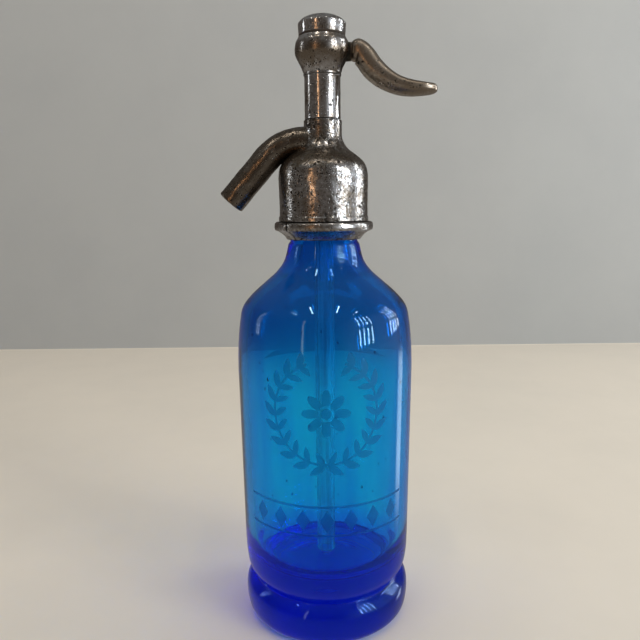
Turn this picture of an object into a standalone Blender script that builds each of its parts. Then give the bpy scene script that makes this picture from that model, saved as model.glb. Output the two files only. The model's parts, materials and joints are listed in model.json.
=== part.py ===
"""Soda siphon: a heavy blue glass bottle under a metal head with a spout, a spring
valve and a thumb lever.

Metres, +Z up, origin at the centre of the flat base. The lever points along +X and
the spout along -X. Every height is stacked from the table upwards, piece on piece.
"""

import math

import bmesh
import bpy
from mathutils import Matrix, Vector

MM = 0.001

# Clearances shared by all pieces
fit_gap = 0.3 * MM
overrun = 2.0 * MM
merge_distance = 0.001 * MM

# Round pieces: steps round the axis
big_steps = 40
small_steps = 24
arc_steps = 4
lip_steps = 3
curve_steps = 2

# Bottle, from the table up
base_radius = 39.0 * MM
foot_radius = 46.6 * MM
foot_height = 23.5 * MM
waist_radius = 42.0 * MM
heel_height = 26.0 * MM
heel_radius = 46.5 * MM
body_radius = 47.7 * MM
body_height = 94.0 * MM
shoulder_height = 68.0 * MM
throat_swell = 1.2 * MM
neck_radius = 17.8 * MM
neck_height = 18.0 * MM
lip_radius = 20.8 * MM
lip_height = 5.6 * MM
lip_round = 1.4 * MM
mouth_radius = 11.5 * MM
glass_wall = 5.2 * MM
base_thickness = 31.0 * MM
floor_round = 9.0 * MM
throat_drop = 1.8 * MM
hollow_drop = 2.1 * MM

# Outline shares of the foot, waist, heel and shoulder: height, then radius
foot_shares = [(0.04, 0.45), (0.20, 0.86), (0.50, 1.00)]
waist_shares = [(0.76, 0.90), (0.92, 0.42)]
heel_shares = [(0.08, 0.24), (0.30, 0.73), (0.60, 0.93)]
shoulder_shares = [(0.0, 1.0), (0.19, 0.986), (0.38, 0.941), (0.50, 0.875), (0.60, 0.69),
                   (0.70, 0.43), (0.78, 0.225), (0.87, 0.08), (1.0, 0.0)]

# Dip tube and the soft rings at the mouth
tube_radius = 5.25 * MM
tube_bore = 3.4 * MM
tube_lift = 3.0 * MM
tube_flange_radius = 8.0 * MM
tube_flange_height = 2.0 * MM
mouth_gasket_height = 2.7 * MM
tube_seal_height = 1.2 * MM

# Neck ring, split in two halves
ring_lift = 0.9 * MM
ring_edge = 1.65 * MM
ring_cone_height = 4.7 * MM
ring_flange_height = 4.4 * MM
ring_overhang = 2.95 * MM
ring_flange_inset = 1.3 * MM
sleeve_wall = 2.95 * MM
split_gap = 0.4 * MM
split_angle = 43.0
ring_edge_start = -70.0
ring_cone_shares = [(0.0, 0.0), (0.24, 0.08), (0.50, 0.26), (0.80, 0.60), (1.0, 1.0)]

# Head body: skirt, dome and lower column
seam_gap = 0.5 * MM
skirt_wall = 2.1 * MM
bead_height = 2.0 * MM
bead_swell = 0.3 * MM
dome_height = 26.5 * MM
shoulder_rise = 14.5 * MM
lower_column_height = 10.3 * MM
column_wall = 3.1 * MM
dome_shares = [(0.0, 1.0), (0.12, 0.98), (0.22, 0.88), (0.46, 0.56), (0.72, 0.20),
               (0.90, 0.05), (1.0, 0.0)]

# Valve seat, chamber and stem
seat_radius = 6.0 * MM
seat_height = 5.6 * MM
seat_nose_radius = 4.2 * MM
seat_nose_height = 1.1 * MM
seat_bore = 3.0 * MM
chamber_radius = 5.6 * MM
washer_play = 0.9 * MM
washer_height = 2.5 * MM
piston_play = 0.6 * MM
piston_height = 5.0 * MM
stem_radius = 2.5 * MM
screw_radius = 1.0 * MM
screw_head_play = 1.0 * MM
screw_head_height = 1.6 * MM
screw_depth = 3.0 * MM

# Packing of the stem and the spigot of the lever housing
spigot_radius = 6.5 * MM
packing_washer_height = 0.8 * MM
packing_radius = 5.0 * MM
packing_height = 3.0 * MM

# Lever housing: upper column and bulb
column_step = 0.6 * MM
upper_column_height = 22.6 * MM
bulb_height = 17.6 * MM
bulb_wall = 5.4 * MM
cavity_radius = 6.6 * MM
cavity_floor = 1.0 * MM
cap_thread_wall = 1.7 * MM
cap_thread_depth = 5.0 * MM
bulb_shares = [(0.0, 0.04), (0.20, 0.36), (0.36, 0.68), (0.52, 0.95), (0.66, 1.0),
               (0.85, 0.887), (0.96, 0.66), (1.0, 0.55)]
slot_side_gap = 0.3 * MM
slot_top_wall = 1.3 * MM
pivot_share = 0.53

# Lever: tongue inside, pivot, and the thumb arm outside
tongue_half_width = 2.4 * MM
tongue_nose_radius = 1.5 * MM
knuckle_radius = 2.9 * MM
pivot_pin_radius = 1.4 * MM
pivot_pin_share = 0.94
tang_rise = 6.2 * MM
tang_drop = 3.6 * MM
tang_step = 1.8 * MM
tang_corner = 0.9 * MM
arm_gap = 2.0 * MM
arm_reach = 42.8 * MM
arm_drop = 16.6 * MM
arm_half_height = 6.9 * MM
arm_half_width = 7.5 * MM
arm_overlap = 1.6 * MM
arm_steps = 16
arm_flat_share = 0.6

# Arm stations: reach, drop, half height and half width
arm_shares = [(0.0, -0.11, 0.64, 0.70), (0.055, -0.08, 0.90, 0.80), (0.13, 0.15, 0.97, 0.88),
              (0.22, 0.41, 0.90, 0.91), (0.322, 0.63, 0.82, 0.94), (0.438, 0.81, 0.72, 0.97),
              (0.562, 0.94, 0.65, 1.0), (0.708, 1.01, 0.57, 1.0), (0.85, 1.03, 0.47, 0.93),
              (0.94, 1.03, 0.35, 0.72), (0.985, 1.01, 0.20, 0.42), (1.0, 0.99, 0.08, 0.2)]

# Lifter on the stem, driven by the lever's tongue
lifter_play = 0.4 * MM
lifter_floor = 3.1 * MM
lifter_roof = 2.4 * MM
window_slack = 1.6 * MM
lifter_peg_radius = 2.2 * MM
lifter_peg_height = 3.8 * MM
cross_pin_radius = 0.7 * MM
cross_pin_share = 0.5

# Spring over the lifter
spring_wire = 0.55 * MM
spring_play = 0.9 * MM
spring_height = 10.0 * MM
spring_turns = 5
spring_points = 10
spring_seat_height = 0.8 * MM
spring_seat_play = 0.6 * MM

# Cap
cap_gasket_height = 0.8 * MM
cap_gasket_step = 0.5 * MM
cap_side_height = 4.6 * MM
cap_flare = 0.15 * MM
cap_radius = 12.0 * MM
cap_crown = 4.8 * MM
crown_shares = [(1.0, 0.0), (0.975, 0.16), (0.88, 0.40), (0.66, 0.72), (0.34, 0.94), (0.0, 1.0)]

# Spout
spout_radius = 7.2 * MM
spout_bore = 4.6 * MM
spout_bend = 26.0 * MM
spout_fall = 48.6
spout_run = 29.9 * MM
spout_bend_steps = 8
spout_steps = 24
spout_rise_share = 1.0
ledge_wall = 0.5 * MM
nipple_radius = 4.9 * MM
nipple_bore = 3.9 * MM
bore_inset = 0.6 * MM

# Radii that follow from what each piece holds
ring_bore = neck_radius + fit_gap
sleeve_radius = ring_bore + sleeve_wall
skirt_bore = max(sleeve_radius, lip_radius) + fit_gap
head_radius = skirt_bore + skirt_wall
flange_radius = head_radius + ring_overhang
spigot_pocket = spigot_radius + fit_gap
lower_column_radius = spigot_pocket + column_wall
upper_column_radius = lower_column_radius - column_step
cap_thread_radius = cavity_radius + cap_thread_wall
cap_pocket = cap_thread_radius + fit_gap
bulb_radius = cap_pocket + bulb_wall
guide_bore = stem_radius + fit_gap
lifter_radius = cavity_radius - lifter_play

# Heights stacked from the table up
waist_top = foot_height
heel_top = waist_top + heel_height
body_top = heel_top + body_height
shoulder_top = body_top + shoulder_height
lip_bottom = shoulder_top + neck_height
lip_top = lip_bottom + lip_height
tube_bottom = base_thickness + tube_lift
gasket_bottom = lip_top + fit_gap
tube_flange_bottom = gasket_bottom + mouth_gasket_height + fit_gap
tube_seal_bottom = tube_flange_bottom + tube_flange_height + fit_gap
seat_bottom = tube_seal_bottom + tube_seal_height + fit_gap
seat_top = seat_bottom + seat_height + seat_nose_height
chamber_bottom = seat_bottom + seat_height + fit_gap
valve_washer_bottom = seat_top + fit_gap
stem_bottom = valve_washer_bottom + washer_height + fit_gap
ring_bottom = shoulder_top + ring_lift
flange_bottom = ring_bottom + ring_cone_height
flange_top = flange_bottom + ring_flange_height
head_bottom = flange_top + seam_gap
dome_top = head_bottom + dome_height
column_bottom = dome_top + shoulder_rise
column_top = column_bottom + lower_column_height
spout_height = dome_top + shoulder_rise * spout_rise_share
packing_ledge = spout_height + nipple_radius + fit_gap + ledge_wall
packing_washer_bottom = packing_ledge + fit_gap
spigot_bottom = packing_washer_bottom + packing_washer_height + fit_gap
housing_bottom = column_top + fit_gap
bulb_bottom = housing_bottom + upper_column_height
bulb_top = bulb_bottom + bulb_height
cavity_bottom = bulb_bottom + cavity_floor
pivot_height = bulb_bottom + bulb_height * pivot_share
window_top = pivot_height + tongue_nose_radius + fit_gap
window_bottom = pivot_height - tongue_nose_radius - fit_gap - window_slack
lifter_bottom = window_bottom - lifter_floor
lifter_top = window_top + lifter_roof
stem_top = window_bottom - fit_gap
spring_seat_bottom = lifter_top + fit_gap
spring_bottom = spring_seat_bottom + spring_seat_height + fit_gap
spring_top = spring_bottom + spring_height
cap_ceiling = spring_top + fit_gap
cap_gasket_bottom = bulb_top + fit_gap
cap_bottom = cap_gasket_bottom + cap_gasket_height + fit_gap
pivot_reach = cavity_radius + knuckle_radius


def clear_scene():
    for item in list(bpy.data.objects):
        bpy.data.objects.remove(item, do_unlink=True)


def make_material(name, colour, roughness, metallic, transmission=0.0):
    material = bpy.data.materials.new(name)
    material.use_nodes = True
    shader = material.node_tree.nodes["Principled BSDF"]
    shader.inputs["Base Color"].default_value = (*colour, 1.0)
    shader.inputs["Roughness"].default_value = roughness
    shader.inputs["Metallic"].default_value = metallic
    shader.inputs["Transmission Weight"].default_value = transmission
    return material


def add_object(name, mesh, material=None, at=(0.0, 0.0, 0.0)):
    item = bpy.data.objects.new(name, mesh)
    bpy.context.scene.collection.objects.link(item)
    item.location = at
    if material:
        mesh.materials.append(material)
    return item


def finish_mesh(name, shape, smooth_angle=math.radians(40.0)):
    bmesh.ops.remove_doubles(shape, verts=shape.verts, dist=merge_distance)
    bmesh.ops.recalc_face_normals(shape, faces=shape.faces)
    mesh = bpy.data.meshes.new(name)
    shape.to_mesh(mesh)
    shape.free()
    mesh.shade_smooth()
    mesh.set_sharp_from_angle(angle=smooth_angle)
    return mesh


def turned_mesh(name, outline, steps, closed):
    """Spin an outline of (radius, height) points about Z. A closed outline is a ring
    with a hole; an open one starts and ends on the axis."""
    shape = bmesh.new()
    points = [shape.verts.new((radius, 0.0, height)) for radius, height in outline]
    pairs = list(zip(points, points[1:]))
    if closed:
        pairs.append((points[-1], points[0]))
    edges = [shape.edges.new(pair) for pair in pairs]
    bmesh.ops.spin(shape, geom=points + edges, cent=(0.0, 0.0, 0.0), axis=(0.0, 0.0, 1.0),
                   angle=2.0 * math.pi, steps=steps, use_merge=True, use_duplicate=False)
    return finish_mesh(name, shape)


def turned(name, outline, material, height=0.0, steps=small_steps, closed=True):
    return add_object(name, turned_mesh(name, outline, steps, closed), material, (0.0, 0.0, height))


def tube_outline(outer, inner, height):
    return [(inner, 0.0), (outer, 0.0), (outer, height), (inner, height)]


def rod_outline(radius, height):
    return [(0.0, 0.0), (radius, 0.0), (radius, height), (0.0, height)]


def prism_mesh(name, outline, half_width):
    """Extrude an outline of (x, z) points along Y, half to each side."""
    shape = bmesh.new()
    points = [shape.verts.new((x, -half_width, z)) for x, z in outline]
    face = shape.faces.new(points)
    grown = bmesh.ops.extrude_face_region(shape, geom=[face])
    moved = [item for item in grown["geom"] if isinstance(item, bmesh.types.BMVert)]
    bmesh.ops.translate(shape, verts=moved, vec=(0.0, 2.0 * half_width, 0.0))
    return finish_mesh(name, shape)


def box_outline(low_x, high_x, low_z, high_z):
    return [(low_x, low_z), (high_x, low_z), (high_x, high_z), (low_x, high_z)]


def lofted_mesh(name, sections):
    """Skin a row of closed sections that hold the same number of points."""
    shape = bmesh.new()
    loops = [[shape.verts.new(point) for point in section] for section in sections]
    count = len(loops[0])
    for near, far in zip(loops, loops[1:]):
        for index in range(count):
            after = (index + 1) % count
            shape.faces.new((near[index], near[after], far[after], far[index]))
    shape.faces.new(loops[0])
    shape.faces.new(loops[-1])
    return finish_mesh(name, shape)


def swept_mesh(name, route, radius, steps):
    """A round bar along a route that lies in the XZ plane."""
    sections = []
    for index, point in enumerate(route):
        before = route[max(index - 1, 0)]
        after = route[min(index + 1, len(route) - 1)]
        along = (after - before).normalized()
        side = Vector((0.0, 1.0, 0.0))
        up = along.cross(side)
        turn = [2.0 * math.pi * step / steps for step in range(steps)]
        sections.append([point + (side * math.cos(a) + up * math.sin(a)) * radius for a in turn])
    return lofted_mesh(name, sections)


def cutter(name, mesh, at=(0.0, 0.0, 0.0)):
    item = add_object(name, mesh, None, at)
    item.hide_render = True
    item.display_type = "WIRE"
    return item


def combine(target, tool, operation="DIFFERENCE"):
    change = target.modifiers.new(tool.name, "BOOLEAN")
    change.operation = operation
    change.solver = "EXACT"
    change.object = tool


def cross_rod(name, radius, half_length, at):
    """A rod along Y, centred at the given place."""
    mesh = turned_mesh(name, rod_outline(radius, 2.0 * half_length), small_steps, False)
    mesh.transform(Matrix.Rotation(math.radians(-90.0), 4, "X"))
    mesh.transform(Matrix.Translation((0.0, -half_length, 0.0)))
    return mesh, at


def smooth_through(points, steps):
    """A Catmull-Rom curve through (a, b) points."""
    ends = [points[0]] + list(points) + [points[-1]]
    curve = []
    for first, second, third, fourth in zip(ends, ends[1:], ends[2:], ends[3:]):
        for step in range(steps):
            t = step / steps
            weights = (
                -0.5 * t + t ** 2 - 0.5 * t ** 3,
                1.0 - 2.5 * t ** 2 + 1.5 * t ** 3,
                0.5 * t + 2.0 * t ** 2 - 1.5 * t ** 3,
                0.5 * t ** 3 - 0.5 * t ** 2,
            )
            corners = (first, second, third, fourth)
            curve.append(tuple(sum(w * p[axis] for w, p in zip(weights, corners)) for axis in (0, 1)))
    curve.append(tuple(points[-1]))
    return curve


def shares_outline(shares, low_z, height, low_radius, high_radius):
    """Turn (height share, radius share) pairs into (radius, height) points."""
    span = high_radius - low_radius
    return [(low_radius + span * wide, low_z + height * tall) for tall, wide in shares]


def quarter(centre, radius, start, end, steps=arc_steps):
    angles = [math.radians(start + (end - start) * step / steps) for step in range(steps + 1)]
    return [(centre[0] + radius * math.cos(a), centre[1] + radius * math.sin(a)) for a in angles]


def bottle_outline():
    foot = shares_outline(foot_shares, 0.0, foot_height, base_radius, foot_radius)
    waist = shares_outline(waist_shares, 0.0, foot_height, waist_radius, foot_radius)
    heel = shares_outline(heel_shares, waist_top, heel_height, waist_radius, heel_radius)
    below = [(base_radius, 0.0)] + foot + waist + [(waist_radius, waist_top)]
    above = heel + [(heel_radius, heel_top)]
    throat = neck_radius + throat_swell
    slope_height = shoulder_height - throat_drop
    shoulder = shares_outline(shoulder_shares, body_top, slope_height, throat, body_radius)
    outside = smooth_through(below + above, curve_steps) + smooth_through(shoulder, curve_steps)
    neck = [(neck_radius, shoulder_top), (neck_radius, lip_bottom)]
    lip_middle = lip_radius - lip_round
    lip = (quarter((lip_middle, lip_bottom + lip_round), lip_round, -90.0, 0.0, lip_steps)
           + quarter((lip_middle, lip_top - lip_round), lip_round, 0.0, 90.0, lip_steps))
    mouth = [(mouth_radius, lip_top), (mouth_radius, shoulder_top)]
    hollow_radius = body_radius - glass_wall
    inside = shares_outline(shoulder_shares, body_top - hollow_drop, shoulder_height,
                            mouth_radius, hollow_radius)
    inside.reverse()
    inside.pop(0)
    corner_radius = heel_radius - glass_wall - floor_round
    corner = quarter((corner_radius, base_thickness + floor_round), floor_round, 0.0, -90.0)
    floor = [(0.0, base_thickness)]
    return [(0.0, 0.0)] + outside + neck + lip + mouth + inside + corner + floor


def ring_outline():
    cone = shares_outline(ring_cone_shares, ring_bottom, ring_cone_height, ring_bore + ring_edge,
                          flange_radius - ring_flange_inset)
    middle = (flange_bottom + flange_top) * 0.5
    rim = ring_flange_height * 0.5
    edge = quarter((flange_radius - rim, middle), rim, ring_edge_start, 90.0)
    sleeve_top = lip_bottom - fit_gap
    sleeve = [(sleeve_radius, flange_top), (sleeve_radius, sleeve_top), (ring_bore, sleeve_top)]
    return [(ring_bore, ring_bottom)] + cone + edge + sleeve


def head_skin(extra=0.0):
    """The outside of the head body, from the bottom of its skirt to the top of its column."""
    bead_top = head_bottom + bead_height
    skirt = [(head_radius + bead_swell, head_bottom), (head_radius + bead_swell, bead_top),
             (head_radius, bead_top + bead_swell)]
    dome = shares_outline(dome_shares, dome_top, shoulder_rise, lower_column_radius, head_radius)
    points = skirt + smooth_through(dome, curve_steps) + [(lower_column_radius, column_top)]
    return [(radius + extra, height) for radius, height in points]


def head_outline():
    inside = [
        (spigot_pocket, column_top), (spigot_pocket, packing_ledge),
        (chamber_radius, packing_ledge), (chamber_radius, chamber_bottom),
        (seat_radius + fit_gap, chamber_bottom), (seat_radius + fit_gap, seat_bottom),
        (tube_flange_radius + fit_gap, seat_bottom), (tube_flange_radius + fit_gap, tube_flange_bottom),
        (skirt_bore, tube_flange_bottom), (skirt_bore, head_bottom),
    ]
    return head_skin() + inside


def housing_outline():
    column = [(spigot_radius, spigot_bottom), (spigot_radius, housing_bottom),
              (upper_column_radius, housing_bottom), (upper_column_radius, bulb_bottom)]
    swell = shares_outline(bulb_shares, bulb_bottom, bulb_height, upper_column_radius, bulb_radius)
    bulb = smooth_through(swell, curve_steps)
    pocket_top = spigot_bottom + packing_height + fit_gap
    inside = [
        (cap_pocket, bulb_top), (cap_pocket, bulb_top - cap_thread_depth - fit_gap),
        (cavity_radius, bulb_top - cap_thread_depth - fit_gap), (cavity_radius, cavity_bottom),
        (guide_bore, cavity_bottom), (guide_bore, pocket_top),
        (packing_radius + fit_gap, pocket_top), (packing_radius + fit_gap, spigot_bottom),
    ]
    return column + bulb + inside


def cap_outline():
    """The cap's outline from the crown's middle, down the outside, and up the inside."""
    side_top = cap_bottom + cap_side_height
    rim = cap_radius + cap_flare
    thread_end = bulb_top - cap_thread_depth
    crown = [(rim * wide, side_top + cap_crown * tall) for wide, tall in crown_shares]
    outside = [(cap_radius, cap_bottom),
               (cap_thread_radius, cap_bottom), (cap_thread_radius, thread_end)]
    inside = [(cavity_radius, thread_end), (cavity_radius, cap_ceiling), (0.0, cap_ceiling)]
    return list(reversed(crown)) + outside + inside


def spout_route():
    """The spout's centre line: out of the column, round the bend, then straight down."""
    fall = math.radians(spout_fall)
    start = Vector((-lower_column_radius, 0.0, spout_height))
    centre = start - Vector((0.0, 0.0, spout_bend))
    route = [Vector((-chamber_radius, 0.0, spout_height))]
    for step in range(spout_bend_steps + 1):
        turn = fall * step / spout_bend_steps
        route.append(centre + Vector((-math.sin(turn), 0.0, math.cos(turn))) * spout_bend)
    route.append(route[-1] + Vector((-math.cos(fall), 0.0, -math.sin(fall))) * spout_run)
    return route


def arm_sections():
    """Rounded sections of the thumb arm, flatter on top than below."""
    shoulder = bulb_radius + arm_gap
    centres = []
    for reach, drop, tall, wide in arm_shares:
        centres.append(Vector((shoulder + arm_reach * reach, 0.0, pivot_height - arm_drop * drop)))
    sections = []
    for index, (reach, drop, tall, wide) in enumerate(arm_shares):
        before = centres[max(index - 1, 0)]
        after = centres[min(index + 1, len(centres) - 1)]
        along = (after - before).normalized()
        if index == 0:
            along = Vector((1.0, 0.0, 0.0))
        side = Vector((0.0, 1.0, 0.0))
        up = side.cross(along) * -1.0
        section = []
        for step in range(arm_steps):
            turn = 2.0 * math.pi * step / arm_steps
            rise = math.sin(turn)
            if rise > 0.0:
                rise = rise ** arm_flat_share
            section.append(centres[index] + side * math.cos(turn) * arm_half_width * wide
                           + up * rise * arm_half_height * tall)
        sections.append(section)
    return sections


def make_bottle(glass):
    turned("bottle", bottle_outline(), glass, steps=big_steps, closed=False)


def make_dip_tube(glass, rubber):
    length = tube_flange_bottom + tube_flange_height - tube_bottom
    neck = length - tube_flange_height
    outline = [(tube_bore, 0.0), (tube_radius, 0.0), (tube_radius, neck), (tube_flange_radius, neck),
               (tube_flange_radius, length), (tube_bore, length)]
    turned("dip_tube", outline, glass, tube_bottom)
    gasket_radius = min(lip_radius, skirt_bore) - fit_gap
    turned("mouth_gasket", tube_outline(gasket_radius, tube_radius + fit_gap, mouth_gasket_height),
           rubber, gasket_bottom)
    turned("tube_seal", tube_outline(tube_flange_radius, tube_bore, tube_seal_height),
           rubber, tube_seal_bottom)


def make_neck_ring(metal):
    """Two half rings that close under the bottle's lip."""
    reach = flange_radius + overrun
    for name, turn in (("neck_ring_front", 0.0), ("neck_ring_rear", 180.0)):
        half = turned(name, ring_outline(), metal, steps=big_steps)
        outline = box_outline(-reach, reach, ring_bottom - overrun, lip_bottom + overrun)
        block = prism_mesh(name + "_other_side", outline, reach * 0.5)
        block.transform(Matrix.Translation((0.0, reach * 0.5 - split_gap * 0.5, 0.0)))
        other_side = cutter(name + "_other_side", block)
        other_side.rotation_euler = (0.0, 0.0, math.radians(split_angle + turn))
        combine(half, other_side)


def make_head_body(metal):
    head = turned("head_body", head_outline(), metal, steps=big_steps)
    outline = rod_outline(nipple_radius + fit_gap, head_radius)
    hole = turned_mesh("spout_hole", outline, small_steps, False)
    spout_hole = cutter("spout_hole", hole, (0.0, 0.0, spout_height))
    spout_hole.rotation_euler = (0.0, math.radians(-90.0), 0.0)
    combine(head, spout_hole)


def make_spout(metal):
    route = spout_route()
    spout = add_object("spout", swept_mesh("spout", route, spout_radius, spout_steps), metal)
    skin = [(0.0, head_bottom)] + head_skin(fit_gap) + [(0.0, column_top)]
    combine(spout, cutter("head_clearance", turned_mesh("head_clearance", skin, big_steps, False)))
    inner = chamber_radius + fit_gap
    nipple_length = lower_column_radius + overrun - inner
    nipple = turned_mesh("spout_nipple", rod_outline(nipple_radius, nipple_length), small_steps, False)
    spout_nipple = cutter("spout_nipple", nipple, (-inner, 0.0, spout_height))
    spout_nipple.rotation_euler = (0.0, math.radians(-90.0), 0.0)
    combine(spout, spout_nipple, "UNION")
    bore_route = [route[1] + Vector((-bore_inset, 0.0, 0.0))] + route[2:]
    bore_route[-1] = route[-1] + (route[-1] - route[-2]).normalized() * overrun
    combine(spout, cutter("spout_bore", swept_mesh("spout_bore", bore_route, spout_bore, spout_steps)))
    nipple_hole = turned_mesh("nipple_bore", rod_outline(nipple_bore, lower_column_radius + overrun),
                              small_steps, False)
    nipple_cut = cutter("nipple_bore", nipple_hole, (-chamber_radius + overrun, 0.0, spout_height))
    nipple_cut.rotation_euler = (0.0, math.radians(-90.0), 0.0)
    combine(spout, nipple_cut)


def make_valve(brass, rubber, steel):
    """The seat in the head, and the stem with its washer and screw."""
    nose_top = seat_height + seat_nose_height
    seat = [(seat_bore, 0.0), (seat_radius, 0.0), (seat_radius, seat_height),
            (seat_nose_radius, seat_height), (seat_nose_radius, nose_top), (seat_bore, nose_top)]
    turned("valve_seat", seat, brass, seat_bottom)
    washer = tube_outline(chamber_radius - washer_play, screw_radius + fit_gap, washer_height)
    turned("valve_washer", washer, rubber, valve_washer_bottom)
    hole_depth = screw_depth + fit_gap
    piston_radius = chamber_radius - piston_play
    length = stem_top - stem_bottom
    stem = [(0.0, hole_depth), (screw_radius + fit_gap, hole_depth), (screw_radius + fit_gap, 0.0),
            (piston_radius, 0.0), (piston_radius, piston_height), (stem_radius, piston_height),
            (stem_radius, length), (0.0, length)]
    rod = turned("stem", stem, brass, stem_bottom, closed=False)
    screw_head_radius = seat_bore - screw_head_play
    shank_top = screw_head_height + fit_gap + washer_height + screw_depth
    screw = [(0.0, 0.0), (screw_head_radius, 0.0), (screw_head_radius, screw_head_height),
             (screw_radius, screw_head_height), (screw_radius, shank_top), (0.0, shank_top)]
    turned("valve_screw", screw, steel, valve_washer_bottom - fit_gap - screw_head_height, closed=False)
    return rod


def make_packing(brass, rubber):
    turned("packing_washer", tube_outline(spigot_radius, guide_bore, packing_washer_height),
           brass, packing_washer_bottom)
    packing = tube_outline(packing_radius, guide_bore, packing_height)
    turned("stem_packing", packing, rubber, spigot_bottom)


def make_housing(metal):
    housing = turned("lever_housing", housing_outline(), metal, steps=big_steps)
    outline = box_outline(0.0, bulb_radius + overrun, cavity_bottom + fit_gap, bulb_top - slot_top_wall)
    slot = prism_mesh("lever_slot", outline, tongue_half_width + slot_side_gap)
    combine(housing, cutter("lever_slot", slot))
    hole, place = cross_rod("pivot_hole", pivot_pin_radius + fit_gap, bulb_radius + overrun,
                            (pivot_reach, 0.0, pivot_height))
    combine(housing, cutter("pivot_hole", hole, place))


def make_lever(metal, steel):
    """The lever turns on its pin. Its own origin is on the pin's axis."""
    pivot = Vector((pivot_reach, 0.0, pivot_height))
    shoulder = bulb_radius + arm_gap
    nose = quarter((0.0, pivot_height), tongue_nose_radius, 270.0, 90.0, 2 * arc_steps)
    meet = math.degrees(math.asin(tongue_nose_radius / knuckle_radius))
    upper = quarter((pivot_reach, pivot_height), knuckle_radius, 180.0 - meet, 90.0)
    lower = quarter((pivot_reach, pivot_height), knuckle_radius, 270.0, 180.0 + meet)
    high = pivot_height + tang_rise
    low = pivot_height - tang_drop
    top = [(pivot_reach + tang_corner, high - tang_corner), (pivot_reach + tang_step, high),
           (shoulder, high), (shoulder + arm_overlap, high - tang_corner)]
    bottom = [(shoulder + arm_overlap, low + tang_corner), (pivot_reach + tang_step, low)]
    outline = nose + upper + top + bottom + lower
    tongue = prism_mesh("lever", outline, tongue_half_width)
    lever = add_object("lever", tongue, metal)
    arm = cutter("lever_arm", lofted_mesh("lever_arm", arm_sections()))
    combine(lever, arm, "UNION")
    hole, place = cross_rod("lever_hole", pivot_pin_radius + fit_gap, tongue_half_width + overrun, pivot)
    combine(lever, cutter("lever_hole", hole, place))
    lever.data.transform(Matrix.Translation(-pivot))
    lever.location = pivot
    half_length = math.sqrt(bulb_radius ** 2 - pivot_reach ** 2) * pivot_pin_share
    pin, place = cross_rod("lever_pin", pivot_pin_radius, half_length, pivot)
    add_object("lever_pin", pin, steel, place)


def make_lifter(brass, steel, stem):
    """The block on the stem's top whose window holds the lever's tongue."""
    height = lifter_top - lifter_bottom
    outline = [(0.0, 0.0), (lifter_radius, 0.0), (lifter_radius, height), (lifter_peg_radius, height),
               (lifter_peg_radius, height + lifter_peg_height), (0.0, height + lifter_peg_height)]
    lifter = turned("stem_lifter", outline, brass, lifter_bottom, closed=False)
    window = box_outline(-lifter_radius - overrun, lifter_radius + overrun, window_bottom, window_top)
    opening = prism_mesh("lifter_window", window, tongue_half_width + slot_side_gap)
    combine(lifter, cutter("lifter_window", opening))
    socket_outline = rod_outline(stem_radius + fit_gap, overrun + lifter_floor + window_slack)
    socket = turned_mesh("stem_socket", socket_outline, small_steps, False)
    combine(lifter, cutter("stem_socket", socket, (0.0, 0.0, lifter_bottom - overrun)))
    pin_height = lifter_bottom + (stem_top - lifter_bottom) * cross_pin_share
    hole, place = cross_rod("cross_pin_hole", cross_pin_radius + fit_gap, lifter_radius + overrun,
                            (0.0, 0.0, pin_height))
    pin_hole = cutter("cross_pin_hole", hole, place)
    combine(lifter, pin_hole)
    combine(stem, pin_hole)
    pin, place = cross_rod("cross_pin", cross_pin_radius, lifter_radius - fit_gap, place)
    add_object("cross_pin", pin, steel, place)


def spring_route():
    coil_radius = cavity_radius - spring_play - spring_wire
    rise = spring_height - 2.0 * spring_wire
    count = spring_turns * spring_points
    route = []
    for index in range(count + 1):
        turn = 2.0 * math.pi * index / spring_points
        route.append(Vector((coil_radius * math.cos(turn), coil_radius * math.sin(turn),
                             spring_wire + rise * index / count)))
    return route


def make_spring(steel):
    route = spring_route()
    curve = bpy.data.curves.new("spring", "CURVE")
    curve.dimensions = "3D"
    curve.bevel_depth = spring_wire
    curve.bevel_resolution = 1
    curve.use_fill_caps = True
    spline = curve.splines.new("POLY")
    spline.points.add(len(route) - 1)
    for point, place in zip(spline.points, route):
        point.co = (*place, 1.0)
    add_object("spring", curve, steel, (0.0, 0.0, spring_bottom))
    over_it = zip(route, route[spring_points:])
    least = min((upper - lower).length for lower, upper in over_it) - 2.0 * spring_wire
    print(f"least gap between the spring's turns: {least / MM:.2f} mm")
    washer_radius = cavity_radius - spring_seat_play
    turned("spring_seat", tube_outline(washer_radius, lifter_peg_radius + fit_gap, spring_seat_height),
           steel, spring_seat_bottom)


def make_cap(metal, fibre):
    turned("cap", cap_outline(), metal, steps=big_steps, closed=False)
    gasket_radius = cap_radius - cap_gasket_step
    turned("cap_gasket", tube_outline(gasket_radius, cap_thread_radius + fit_gap, cap_gasket_height),
           fibre, cap_gasket_bottom)


def main():
    clear_scene()
    glass = make_material("blue_glass", (0.0, 0.16, 0.62), 0.05, 0.0, 0.9)
    pewter = make_material("worn_pewter", (0.42, 0.39, 0.35), 0.32, 1.0)
    bronze = make_material("lever_bronze", (0.36, 0.30, 0.23), 0.35, 1.0)
    brass = make_material("brass", (0.62, 0.46, 0.20), 0.35, 1.0)
    steel = make_material("steel", (0.50, 0.50, 0.50), 0.30, 1.0)
    rubber = make_material("rubber", (0.04, 0.035, 0.03), 0.80, 0.0)
    fibre = make_material("fibre", (0.07, 0.05, 0.04), 0.85, 0.0)
    make_bottle(glass)
    make_dip_tube(glass, rubber)
    make_neck_ring(pewter)
    make_head_body(pewter)
    make_spout(pewter)
    stem = make_valve(brass, rubber, steel)
    make_packing(brass, rubber)
    make_housing(pewter)
    make_lever(bronze, steel)
    make_lifter(brass, steel, stem)
    make_spring(steel)
    make_cap(pewter, fibre)


main()
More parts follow.
